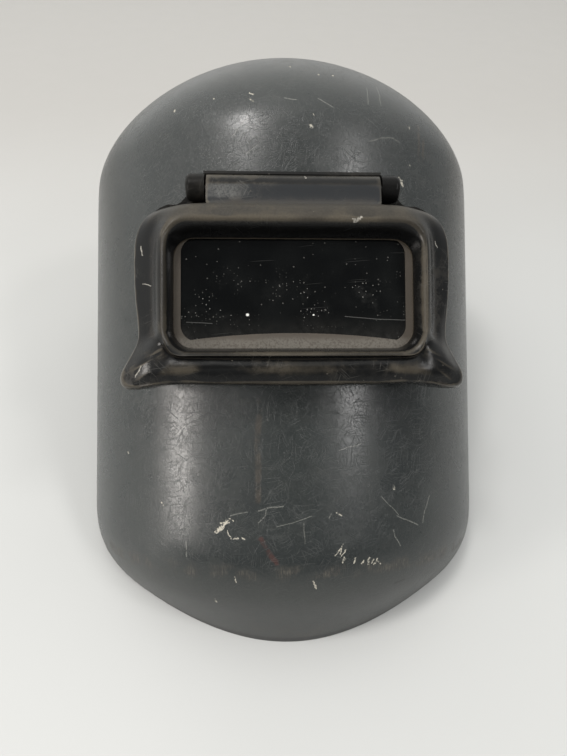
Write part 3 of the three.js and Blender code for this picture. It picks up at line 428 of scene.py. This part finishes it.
# How strongly the fine scratches show everywhere, and how much is left to rubbed or outer places
HAIR_ANYWHERE, HAIR_RUBBED = 0.3, 0.7
# The shell's plain plastic, and what lies on it from the bottom up: share, red, green, blue
SHELL_GROUND = (0.0150, 0.0180, 0.0182)
SHELL_LAYERS = {
    "clouds": (1.0, 0.0205, 0.0240, 0.0236),
    "mottle": (0.5, 0.026, 0.0285, 0.027),
    # painted reflection of the table, lighter on the chin
    "chin_reflection": (0.42, 0.05, 0.052, 0.048),
    "crown": (0.3, 0.06, 0.057, 0.05),
    "grain": (0.22, 0.062, 0.066, 0.063),
    "turn": (0.15, 0.05, 0.036, 0.025),
    "hatch": (0.34, 0.17, 0.15, 0.12),
    "rim": (0.3, 0.06, 0.05, 0.04),
    "streaks": (0.3, 0.085, 0.062, 0.043),
    "stain": (0.34, 0.1, 0.03, 0.022),
    "hair": (0.055, 0.16, 0.165, 0.155),
    "marks": (0.4, 0.3, 0.3, 0.27),
    "specks": (0.4, 0.28, 0.27, 0.24),
    "chips": (0.9, 0.46, 0.43, 0.36),
    "nicks": (0.8, 0.008, 0.008, 0.008),
    "rim_wear": (0.4, 0.08, 0.07, 0.055),
    # painted contact shadow, nearly black, along the edge that lies on the table
    "contact_shadow": (0.85, 0.006, 0.0055, 0.005),
}


def worn_shell_plastic():
    """Dark grey-green moulded plastic, rubbed to a soft gloss and scratched all over."""
    paint = Paint("worn_shell_plastic")
    outer = paint.attribute("outer")
    ragged = paint.wobble(1.9, 0.8)
    clouds = paint.noise(62.0)
    mottle = paint.noise(11.0, 4.0, roughness=0.7)
    grain = paint.noise(0.9, 3.0, roughness=0.65)
    drift = paint.noise(17.0, 3.0)

    # fine scratches, stronger where the shell is rubbed and weaker on its inside
    rubbed = paint.noise(34.0).rise(0.34, 0.62)
    hair = paint.scratches(paint.wobble(7.0, 1.3), SHELL_SCRATCHES)
    hair = hair * (HAIR_ANYWHERE + HAIR_RUBBED * rubbed)
    hair = hair * (HAIR_ANYWHERE + HAIR_RUBBED * outer)
    curls = paint.noise(1.7, 3.0, paint.wobble(4.0, 1.6), 0.6)
    curls = (curls - 0.5).size().rise(0.035, 0.0)

    # chips, scratches and stains on the outside
    specks = paint.specks(4.6, 0.3, 0.05) * outer
    chips = paint.strokes(PALE_CHIPS, ragged) * outer
    marks = paint.strokes(LONG_MARKS, paint.wobble(9.0, 1.0)) * outer
    nicks = paint.strokes(DARK_NICKS, ragged) * outer
    stain = paint.strokes(RED_STAIN, ragged) * mottle.rise(0.38, 0.55) * outer
    streaks = paint.strokes(BROWN_STREAKS, paint.wobble(14.0, 1.2)) * mottle.rise(0.35, 0.6)
    streaks = streaks * outer

    # the worn line where the front turns under to the chin, hatched up and down
    turn = (paint.up - TURN_UP).uneven(drift, 7.0).size().rise(4.6, 1.0)
    turn = turn * paint.back.rise(*TURN_DEPTH) * paint.noise(9.0).rise(0.4, 0.62) * outer
    strands = paint.together(
        paint.x / HATCH_WIDTH, paint.back / HATCH_DEPTH, paint.up / HATCH_HEIGHT
    )
    hatch = paint.noise(1.0, place=strands).rise(0.45, 0.68)

    # what lies by height: the chin, painted lighter as a reflection of the table and made rougher,
    # the rim, the dusty crown, and a painted contact shadow where the edge meets the table
    chin_reflection = (paint.up - CHIN_REFLECTION_UP).uneven(mottle, 6.0).rise(8.0, -10.0)
    rim = (paint.up - RIM_UP).rise(7.0, 0.0) * mottle.rise(0.42, 0.62)
    rim_wear = paint.attribute("proud").rise(0.3, 0.8) * mottle.rise(0.4, 0.55)
    crown = (paint.up - CROWN_UP).uneven(drift, 10.0).rise(0.0, 40.0)
    # a painted contact shadow darkens the outside just above the table
    height = paint.apart(paint.lying)[2] / MM
    contact_shadow = outer * (height - CONTACT_SHADOW_UP).uneven(drift, 1.0).rise(1.2, -0.6)

    masks = {
        "clouds": clouds.rise(0.3, 0.7),
        "mottle": mottle.rise(0.4, 0.7),
        "chin_reflection": chin_reflection,
        "crown": crown * mottle.rise(0.3, 0.6),
        "grain": grain.rise(0.42, 0.7),
        "turn": turn,
        "hatch": turn * hatch,
        "rim": rim,
        "streaks": streaks,
        "stain": stain,
        "hair": hair,
        "marks": marks * grain.rise(0.32, 0.5),
        "specks": specks,
        "chips": chips * grain.rise(0.42, 0.5),
        "nicks": nicks,
        "rim_wear": rim_wear,
        "contact_shadow": contact_shadow,
    }
    colour = paint.layered(SHELL_GROUND, SHELL_LAYERS, masks)
    roughness = 0.22 + 0.05 * mottle + 0.06 * clouds + 0.08 * hair + 0.1 * turn + 0.1 * chin_reflection
    roughness = roughness + 0.1 * crown + 0.25 * chips
    bumps = [
        0.03 * grain,
        0.09 * paint.noise(24.0, 1.0),
        -0.045 * hair - 0.015 * curls,
        -0.08 * chips,
    ]
    return paint.finish(colour, roughness, bumps)


# Pale chips and scratches on the lens frame: x, up, x, up, half width
FRAME_CHIPS = [
    (25.0, 197.4, 27.7, 199.2, 0.7),
    (24.0, 198.4, 27.2, 198.0, 0.4),
    (-64.2, 172.8, -60.5, 171.6, 0.3),
    (-65.2, 189.2, -64.7, 185.2, 0.35),
    (-66.8, 133.2, -63.8, 137.6, 0.3),
    (61.0, 191.0, 62.2, 188.6, 0.4),
    (4.6, 219.0, 4.9, 218.4, 0.5),
]
# Fine scratches on the lens holder: angle, length, width, share of slices that carry one
FRAME_SCRATCHES = [(12, 13, 0.34, 0.2), (74, 11, 0.32, 0.2), (140, 12, 0.34, 0.2)]
# Places on the lens frame: the band over the window where dust lies, the hinge leaf and its dusty
# patch, and the well around the glass, where shade is painted, with its middle's height, its depth
# and its foot's
BAND_LOW, BAND_HIGH = 196.0, 206.5
BAND_ENDS = (64.0, 44.0)
LEAF_LOW, LEAF_HIGH = 205.5, 215.0
LEAF_ENDS = (38.5, 37.5)
PATCH_X, PATCH_UP = -29.0, 212.0
WELL_HALF_WIDTH = 53.0
WELL_UP = 170.0
WELL_ENDS = (27.5, 25.5)
WELL_DEPTH = (-138.8, -137.0)
WELL_FOOT = (-130.9, -130.2)
# How strongly bare edges, settled dust and the grime in hollows show anywhere, and how much more
# where they are broken up: edges by broad noise and then by grain, dust by grain, grime by dusty
EDGE_ANYWHERE, EDGE_BROAD = 0.4, 0.6
EDGE_SMOOTH, EDGE_GRAINY = 0.4, 0.9
DUST_SMOOTH, DUST_GRAINY = 0.1, 0.5
GRIME_ANYWHERE, GRIME_DUSTY = 0.1, 0.24
# The holder's plain plastic, and what lies on it from the bottom up: share, red, green, blue
FRAME_GROUND = (0.0046, 0.0048, 0.0050)
FRAME_LAYERS = {
    "grain": (0.5, 0.0088, 0.0088, 0.0088),
    "leaf": (1.0, 0.0165, 0.0180, 0.0200),
    "dust": (0.34, 0.04, 0.036, 0.03),
    "settled": (1.0, 0.088, 0.078, 0.062),
    "patch": (0.8, 0.11, 0.11, 0.105),
    "hollow": (1.0, 0.05, 0.042, 0.033),
    "worn": (1.0, 0.13, 0.11, 0.08),
    "hair": (0.22, 0.13, 0.125, 0.11),
    "crumbs": (0.5, 0.2, 0.18, 0.15),
    "chips": (0.75, 0.38, 0.36, 0.32),
    # shade painted black into the well around the glass
    "shaded_well": (0.8, 0.002, 0.002, 0.002),
    "foot": (0.8, 0.075, 0.062, 0.045),
}


def grimy_moulded_plastic(name, gloss, shine, wear, dusty):
    """Black moulded plastic, glossy where hands rub it, brown-grey with grime in its hollows.

    gloss is its least roughness, shine its specular level and wear how pale its edges are. dusty
    is 1 for the lift front, with its settled dust, its chips and the shade painted into the well
    around its glass, and 0 for the fixed holder."""
    paint = Paint(name)
    edge = paint.attribute("proud")
    mottle = paint.noise(6.0, 4.0, roughness=0.65)
    broad = paint.noise(30.0)
    grain = paint.noise(0.8, 3.0, roughness=0.65)
    hair = paint.scratches(paint.wobble(12.0, 1.4), FRAME_SCRATCHES) * broad.rise(0.36, 0.6)
    worn = edge.uneven(mottle, 0.5).rise(0.16, 0.6)
    worn = worn * (EDGE_ANYWHERE + EDGE_BROAD * broad.rise(0.35, 0.5))
    hollow = (0.0 - edge).uneven(mottle, 0.5).rise(0.1, 0.6)
    dust = mottle.rise(0.42, 0.68) * broad.rise(0.4, 0.66)
    crumbs = paint.specks(2.6, 0.34, 0.1)
    chips = dusty * paint.strokes(FRAME_CHIPS, paint.wobble(2.0, 0.7)) * grain.rise(0.34, 0.5)
    chips = chips * paint.attribute("outer")

    # dust lies on the band over the window and in one patch at the left of the hinge leaf
    settled = (paint.up - BAND_LOW).rise(0.0, 3.0) * (paint.up - BAND_HIGH).rise(1.5, -1.5)
    settled = settled * paint.x.size().uneven(mottle, 6.0).rise(*BAND_ENDS)
    leaf = (paint.up - LEAF_LOW).rise(-0.5, 1.0) * paint.x.size().rise(*LEAF_ENDS)
    leaf = leaf * (paint.up - LEAF_HIGH).rise(0.5, -0.3)
    patch = (paint.x - PATCH_X).uneven(mottle, 9.0).size().rise(11.0, 3.0)
    patch = patch * (paint.up - PATCH_UP).uneven(mottle, 5.0).size().rise(4.5, 1.5) * leaf

    # the well around the glass is painted black as shade, with no dust, grime or wear over it, and
    # it has a brown foot
    shaded_well = (paint.x.size() - WELL_HALF_WIDTH).rise(0.0, -2.0)
    shaded_well = shaded_well * (paint.up - WELL_UP).size().rise(*WELL_ENDS)
    shaded_well = dusty * shaded_well * paint.back.rise(*WELL_DEPTH)
    outside_shaded_well = 1.0 - shaded_well

    masks = {
        "grain": grain,
        "leaf": dusty * leaf,
        "dust": dust * outside_shaded_well,
        "settled": dusty * (DUST_SMOOTH + DUST_GRAINY * grain) * settled,
        "patch": dusty * patch * grain.rise(0.2, 0.7),
        "hollow": (GRIME_ANYWHERE + GRIME_DUSTY * dusty) * hollow * outside_shaded_well,
        "worn": wear * worn * outside_shaded_well * (EDGE_SMOOTH + EDGE_GRAINY * grain),
        "hair": hair * outside_shaded_well,
        "crumbs": crumbs * outside_shaded_well,
        "chips": chips,
        "shaded_well": shaded_well,
        "foot": shaded_well * paint.back.rise(*WELL_FOOT),
    }
    colour = paint.layered(FRAME_GROUND, FRAME_LAYERS, masks)
    roughness = gloss + 0.08 * mottle + 0.2 * dust + 0.15 * hollow + 0.3 * dusty * settled
    roughness = roughness + 0.12 * worn + 0.12 * hair
    bumps = [0.05 * grain, 0.12 * paint.noise(11.0, 1.0), -0.02 * hair, -0.08 * chips]
    return paint.finish(colour, roughness, bumps, {"Specular IOR Level": shine})


# Spots and scratches on the dark glass: x, up, x, up, half width
GLASS_SPOTS = [(-20.1, 159.8, -19.9, 159.8, 0.75), (8.3, 159.8, 8.5, 159.8, 0.42)]
GLASS_MARKS = [
    (-46.2, 156.5, -35.2, 156.3, 0.22),
    (22.0, 158.9, 32.0, 158.3, 0.22),
    (32.0, 158.3, 48.2, 157.5, 0.22),
]
# Fine wipe marks: angle, length, width, share of slices that carry one
GLASS_SCRATCHES = [(4, 20, 0.3, 0.03)]
# The glass's front face, the height of most of its spatter, and that of the dust at its foot
GLASS_FRONT = (-126.5, -127.5)
SPATTER_UP = 167.0
GLASS_DUST_UP = 153.0
# How strongly the larger specks and the wipe marks show beside the others
LARGE_SPECKS = 0.4
WIPE_MARKS = 0.4
# The glass, and what lies on it from the bottom up: share, red, green, blue
GLASS_GROUND = (0.0028, 0.0032, 0.0034)
GLASS_LAYERS = {
    "smear": (1.0, 0.006, 0.0066, 0.0066),
    "dust": (0.16, 0.1, 0.095, 0.085),
    "haze": (0.1, 0.1, 0.1, 0.095),
    "hair": (0.3, 0.2, 0.2, 0.19),
    "spatter": (0.5, 0.34, 0.33, 0.3),
    "spots": (0.95, 0.8, 0.8, 0.76),
}


def dark_glass():
    """Nearly black filter glass with spatter specks, dust and wipe marks."""
    paint = Paint("dark_glass")
    front = paint.back.rise(*GLASS_FRONT)
    clusters = paint.noise(13.0, 3.0).rise(0.46, 0.6)
    clusters = clusters * (paint.up - SPATTER_UP).size().rise(15.0, 4.0)
    spatter = paint.front_specks(1.5, 0.27, 0.5) * clusters
    spatter = spatter.larger(LARGE_SPECKS * paint.front_specks(4.6, 0.34, 0.5)) * front
    spots = paint.strokes(GLASS_SPOTS, paint.place) * front
    hair = WIPE_MARKS * paint.scratches(paint.wobble(40.0, 2.0), GLASS_SCRATCHES)
    hair = hair.larger(paint.strokes(GLASS_MARKS, paint.wobble(20.0, 0.8)) * front)
    smear = paint.noise(18.0, 3.0)
    dust = (paint.up - GLASS_DUST_UP).uneven(smear, 10.0).rise(9.0, -4.0) * paint.noise(2.4, 3.0)
    masks = {
        "smear": smear.rise(0.4, 0.8),
        "dust": dust,
        "haze": clusters * paint.noise(5.0, 4.0, roughness=0.7).rise(0.45, 0.75),
        "hair": hair,
        "spatter": spatter,
        "spots": spots,
    }
    colour = paint.layered(GLASS_GROUND, GLASS_LAYERS, masks)
    roughness = 0.05 + 0.05 * smear + 0.3 * spatter.larger(spots) + 0.2 * dust + 0.12 * hair
    others = {"IOR": 1.5, "Specular IOR Level": 0.45}
    return paint.finish(colour, roughness, [0.02 * spatter], others)


# The plainer finishes: ground colour, and what lies on it as share, red, green, blue
COVER_GROUND = (0.86, 0.91, 0.89)
COVER_LAYERS = {"specks": (0.5, 0.4, 0.38, 0.34)}
SEAL_GROUND = (0.042, 0.035, 0.027)
SEAL_LAYERS = {
    "lumps": (1.0, 0.075, 0.062, 0.048),
    "fine": (0.3, 0.07, 0.055, 0.042),
    "dust": (0.7, 0.14, 0.13, 0.112),
}
STEEL_GROUND = (0.3, 0.29, 0.28)
STEEL_LAYERS = {"brushed": (1.0, 0.46, 0.45, 0.43), "rust": (1.0, 0.14, 0.07, 0.035)}
TABLE_GROUND = (0.46, 0.465, 0.46)
TABLE_LAYERS = {"tone": (1.0, 0.49, 0.495, 0.49), "far": (1.0, 0.385, 0.375, 0.36)}
# The seal strip's dust lies below this height, and steel is brushed in lines this long
SEAL_DUST_UP = 148.5
BRUSH_LENGTH = 14.0
# The table turns duller from the first of these places behind the helmet to the second, in metres
TABLE_FAR = (-0.05, 0.55)


def clear_cover():
    """The clear spatter plate of the fixed holder, lightly fogged."""
    paint = Paint("clear_cover")
    smear = paint.noise(15.0, 3.0)
    specks = paint.specks(5.0, 0.3, 0.05)
    colour = paint.layered(COVER_GROUND, COVER_LAYERS, {"specks": specks})
    roughness = 0.04 + 0.06 * smear + 0.3 * specks
    others = {"IOR": 1.49, "Transmission Weight": 1.0}
    return paint.finish(colour, roughness, [0.02 * smear], others)


def dusty_seal_strip():
    """Brown-black rubber around the window, pale with grinding dust along its lower edge."""
    paint = Paint("dusty_seal_strip")
    fine = paint.noise(0.7, 3.0)
    lumps = paint.noise(9.0)
    low = (paint.up - SEAL_DUST_UP).uneven(lumps, 3.0).rise(2.5, -1.0)
    masks = {"lumps": lumps, "fine": fine, "dust": low * fine.rise(0.25, 0.6)}
    colour = paint.layered(SEAL_GROUND, SEAL_LAYERS, masks)
    return paint.finish(colour, 0.6 + 0.3 * fine, [0.05 * fine, 0.15 * lumps])


def dull_steel():
    """Plain steel wire and strip, dulled and spotted with rust."""
    paint = Paint("dull_steel")
    lines = paint.together(paint.x / BRUSH_LENGTH, paint.back, paint.up)
    brushed = paint.noise(1.0, 3.0, lines)
    rust = paint.noise(4.0, 3.0).rise(0.55, 0.72)
    colour = paint.layered(STEEL_GROUND, STEEL_LAYERS, {"brushed": brushed, "rust": rust})
    roughness = 0.34 + 0.2 * brushed + 0.3 * rust
    return paint.finish(colour, roughness, [0.03 * brushed], {"Metallic": 1.0 - 0.9 * rust})


def pale_table():
    """The matt white board that the helmet lies on."""
    paint = Paint("pale_table")
    far = paint.apart(paint.lying)[1].rise(*TABLE_FAR)
    colour = paint.layered(TABLE_GROUND, TABLE_LAYERS, {"tone": paint.noise(120.0), "far": far})
    return paint.finish(colour, 0.5 + 0.08 * paint.noise(30.0), [0.02 * paint.noise(4.0)])


def only(thing):
    """Makes one object the selected and active one."""
    bpy.ops.object.select_all(action="DESELECT")
    thing.select_set(True)
    bpy.context.view_layer.objects.active = thing


def shape_with(piece, kind, **settings):
    """Adds a modifier to the piece and applies it."""
    only(piece)
    modifier = piece.modifiers.new(kind.lower(), kind)
    for name, value in settings.items():
        setattr(modifier, name, value)
    bpy.ops.object.modifier_apply(modifier=modifier.name)


def fine_copy(node, name):
    """A copy of a CAD node as one joined mesh of four-sided faces."""
    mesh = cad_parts[node].data.copy()
    mesh.name = name
    piece = bpy.data.objects.new(name, mesh)
    bpy.context.scene.collection.objects.link(piece)
    only(piece)
    bpy.ops.object.mode_set(mode="EDIT")
    bpy.ops.mesh.select_all(action="SELECT")
    bpy.ops.mesh.remove_doubles(threshold=MERGE_DISTANCE * MM)
    bpy.ops.mesh.customdata_custom_splitnormals_clear()
    bpy.ops.mesh.tris_convert_to_quads(
        face_threshold=math.radians(QUAD_BEND), shape_threshold=math.radians(QUAD_SKEW)
    )
    bpy.ops.object.mode_set(mode="OBJECT")
    return piece


def soften(piece, edge, angle, levels):
    """Rounds the edges sharper than angle by edge millimetres and smooths the faces between."""
    if edge:
        shape_with(
            piece,
            "BEVEL",
            width=edge * MM,
            segments=ROUNDING_SEGMENTS,
            limit_method="ANGLE",
            angle_limit=math.radians(angle),
            use_clamp_overlap=True,
        )
    if levels:
        shape_with(piece, "SUBSURF", levels=levels, render_levels=levels)
    only(piece)
    bpy.ops.object.shade_smooth_by_angle(angle=math.radians(SMOOTH_ANGLE))
    if not levels:
        shape_with(piece, "WEIGHTED_NORMAL", weight=FLAT_FACE_WEIGHT, keep_sharp=True)


def solid_on_front(add, x, up, ahead, half_size, thickness):
    """A plain solid whose axis points ahead, at a place on the front of the helmet."""
    place = Vector(
        (
            x,
            up * LEAN_SIN - ahead * LEAN_COS - REST_BACK,
            ahead * LEAN_SIN + up * LEAN_COS - REST_UP,
        )
    )
    bpy.ops.object.select_all(action="DESELECT")
    add(location=place * MM, rotation=(math.radians(90) - LEAN, 0, 0))
    solid = bpy.context.active_object
    solid.scale = (2 * half_size * MM, 2 * half_size * MM, thickness * MM)
    bpy.ops.object.transform_apply(location=True, rotation=True, scale=True)
    return solid


def unit_cube(**place):
    """A cube of size 1, to be scaled."""
    bpy.ops.mesh.primitive_cube_add(size=1, **place)


def unit_drum(**place):
    """A drum of width and height 1, to be scaled."""
    bpy.ops.mesh.primitive_cylinder_add(vertices=WINDOW_CORNER_SIDES, radius=0.5, depth=1, **place)


def round_window_corners(piece):
    """Fills the four corners of the seal strip's window with fillets of its own thickness."""
    middle_ahead = 0.5 * (WINDOW_BACK + WINDOW_FRONT)
    thickness = WINDOW_FRONT - WINDOW_BACK
    reach = WINDOW_CORNER + WINDOW_OVERLAP
    fillets = []
    for side in (-1, 1):
        for corner_up, inward in ((WINDOW_LOW, 1), (WINDOW_HIGH, -1)):
            x = side * (WINDOW_HALF_WIDTH + WINDOW_OVERLAP - 0.5 * reach)
            up = corner_up + inward * (0.5 * reach - WINDOW_OVERLAP)
            fillet = solid_on_front(unit_cube, x, up, middle_ahead, 0.5 * reach, thickness)
            x = side * (WINDOW_HALF_WIDTH - WINDOW_CORNER)
            up = corner_up + inward * WINDOW_CORNER
            drum = solid_on_front(unit_drum, x, up, middle_ahead, WINDOW_CORNER, 3 * thickness)
            shape_with(fillet, "BOOLEAN", operation="DIFFERENCE", solver="EXACT", object=drum)
            bpy.data.objects.remove(drum)
            fillets.append(fillet)
    only(fillets[0])
    for fillet in fillets:
        fillet.select_set(True)
    bpy.ops.object.join()
    shape_with(piece, "BOOLEAN", operation="UNION", solver="EXACT", object=fillets[0])
    bpy.data.objects.remove(fillets[0])


def points_and_normals(mesh):
    """The places of a mesh's points and the directions that they face, a row for each point."""
    tables = []
    for rows, kind in ((mesh.vertices, "co"), (mesh.vertex_normals, "vector")):
        values = np.empty(len(mesh.vertices) * 3)
        rows.foreach_get(kind, values)
        tables.append(values.reshape(-1, 3))
    return tables


def mark_points(mesh, name, shares):
    """Keeps a number for each point, which the finishes read as an attribute."""
    layer = mesh.attributes.new(name, "FLOAT", "POINT")
    layer.data.foreach_set("value", shares.astype(np.float32))


def mark_outer_side(mesh):
    """Marks each point with 1 where it faces away from the helmet's middle and 0 on the inside."""
    points, normals = points_and_normals(mesh)
    away = points - np.array(INSIDE_MIDDLE)
    away = away / np.linalg.norm(away, axis=1)[:, None]
    mark_points(mesh, "outer", np.clip(0.5 + OUTER_SHARPNESS * (away * normals).sum(1), 0, 1))


def mark_proud_places(mesh, radius):
    """Marks each point with a share from -1 in hollows to 1 on proud edges, for wear and dirt.

    radius is the rounding in millimetres that counts as fully proud."""
    points, normals = points_and_normals(mesh)
    count = len(points)
    edges = np.empty(len(mesh.edges) * 2, int)
    mesh.edges.foreach_get("vertices", edges)
    first, second = edges.reshape(-1, 2).T
    run = points[second] - points[first]
    length = np.maximum(np.linalg.norm(run, axis=1), SHORTEST_EDGE)
    run = run / length[:, None]
    bend = np.zeros(count)
    ends = np.bincount(first, minlength=count) + np.bincount(second, minlength=count)
    np.add.at(bend, first, -2 * (normals[first] * run).sum(1) / length)
    np.add.at(bend, second, 2 * (normals[second] * run).sum(1) / length)
    bend = bend / np.maximum(ends, 1)
    for _ in range(WEAR_SPREADS):
        spread = np.zeros(count)
        np.add.at(spread, first, bend[second])
        np.add.at(spread, second, bend[first])
        bend = 0.5 * bend + 0.5 * spread / np.maximum(ends, 1)
    mark_points(mesh, "proud", np.clip(bend * radius * MM, -1, 1))


shell_finish = worn_shell_plastic()
frame_finish = grimy_moulded_plastic("glossy_lens_frame_plastic", 0.16, 0.2, 0.42, 1.0)
base_finish = grimy_moulded_plastic("dull_lens_base_plastic", 0.18, 0.07, 0.03, 0.0)
steel_finish = dull_steel()
cover_finish = clear_cover()
seal_finish = dusty_seal_strip()
glass_finish = dark_glass()

# The pieces on each body: node, piece, slot, finish, edge rounding, least angle of a rounded edge,
# subdivisions, and the rounding that counts as a worn edge
PIECES = {
    "helmet_shell": [
        ("shell", "shell_moulding", "shell_plastic", shell_finish, 0.5, 50, 2, 6.0),
        ("lens_base", "lens_base_moulding", "moulded_plastic", base_finish, 0.4, 40, 0, 3.0),
        ("base_clamp", "base_clamp_ring", "moulded_plastic", base_finish, 0.4, 40, 0, 3.0),
        ("clear_plate", "clear_cover_plate", "clear_cover", cover_finish, 0.2, 40, 0, 0),
        ("hinge_pin", "hinge_pin_rod", "steel", steel_finish, 0.2, 50, 0, 0),
    ],
    "lift_front": [
        ("lens_frame", "lens_frame_moulding", "moulded_plastic", frame_finish, 0.35, 60, 2, 5.0),
        ("lens_gasket", "lens_seal_strip", "seal_strip", seal_finish, 0, 50, 0, 0),
        ("filter_lens", "dark_filter_plate", "dark_glass", glass_finish, 0.3, 40, 0, 0),
        ("lens_retainer", "retainer_clip", "steel", steel_finish, 0.15, 50, 0, 0),
    ],
}
for body, rows in PIECES.items():
    for node, name, slot, finish, edge, angle, levels, wear_radius in rows:
        piece = fine_copy(node, name)
        if node == "lens_gasket":
            round_window_corners(piece)
        soften(piece, edge, angle, levels)
        if wear_radius:
            mark_proud_places(piece.data, wear_radius)
            mark_outer_side(piece.data)
        piece.data.materials.clear()
        piece.data.materials.append(finish)
        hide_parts(node)
        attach(piece, body)

# The table
bpy.ops.object.select_all(action="DESELECT")
bpy.ops.mesh.primitive_plane_add(size=2 * TABLE_REACH, location=(0, 0, 0))
floor = bpy.context.active_object
floor.name = "table_top"
floor.data.materials.append(pale_table())

# The lights, each an oval panel that faces the helmet; green lies halfway between red and blue
for name, azimuth, elevation, roll, distance, width, height, power, blue in LIGHTS:
    turn, lift = math.radians(azimuth), math.radians(elevation)
    towards = Vector(
        (math.sin(turn) * math.cos(lift), -math.cos(turn) * math.cos(lift), math.sin(lift))
    )
    lamp = bpy.data.lights.new(name, "AREA")
    lamp.shape = "ELLIPSE"
    lamp.size = width
    lamp.size_y = height
    lamp.energy = power
    lamp.color = (1.0, 0.5 + 0.5 * blue, blue)
    holder = bpy.data.objects.new(name, lamp)
    holder.location = Vector(LIT_MIDDLE) + towards * distance
    facing = (-towards).to_track_quat("-Z", "Y") @ Quaternion((0, 0, 1), math.radians(roll))
    holder.rotation_euler = facing.to_euler()
    bpy.context.scene.collection.objects.link(holder)

# The room's own light
world = bpy.data.worlds.new("studio")
world.use_nodes = True
room = Nodes(world.node_tree)
direction = room.node("TexCoord", output="Generated")
bright = room.vector("DOT_PRODUCT", direction, tuple(Vector(ROOM_BRIGHT_TOWARDS).normalized()))
shade = room.vector("DOT_PRODUCT", direction, tuple(Vector(ROOM_SHADE_TOWARDS).normalized()))
room_light = room.mix(bright.rise(*ROOM_SPREAD), ROOM_DIM, ROOM_BRIGHT)
room_light = room.mix(shade.rise(*ROOM_SHADE_SPREAD), room_light, ROOM_SHADE)
light = room.node("Background", None, {"Color": room_light, "Strength": 1.0})
room.node("OutputWorld", None, {"Surface": light})
bpy.context.scene.world = world
bpy.context.scene.view_settings.view_transform = "Standard"

# The camera
view = bpy.data.cameras.new("camera")
view.sensor_fit = "AUTO"
view.sensor_width = CAMERA_SENSOR
view.lens = CAMERA_LENS
camera = bpy.data.objects.new("camera", view)
camera.location = CAMERA_PLACE
camera.rotation_euler = Euler([math.radians(part) for part in CAMERA_TURN], "XYZ")
bpy.context.scene.collection.objects.link(camera)
bpy.context.scene.camera = camera
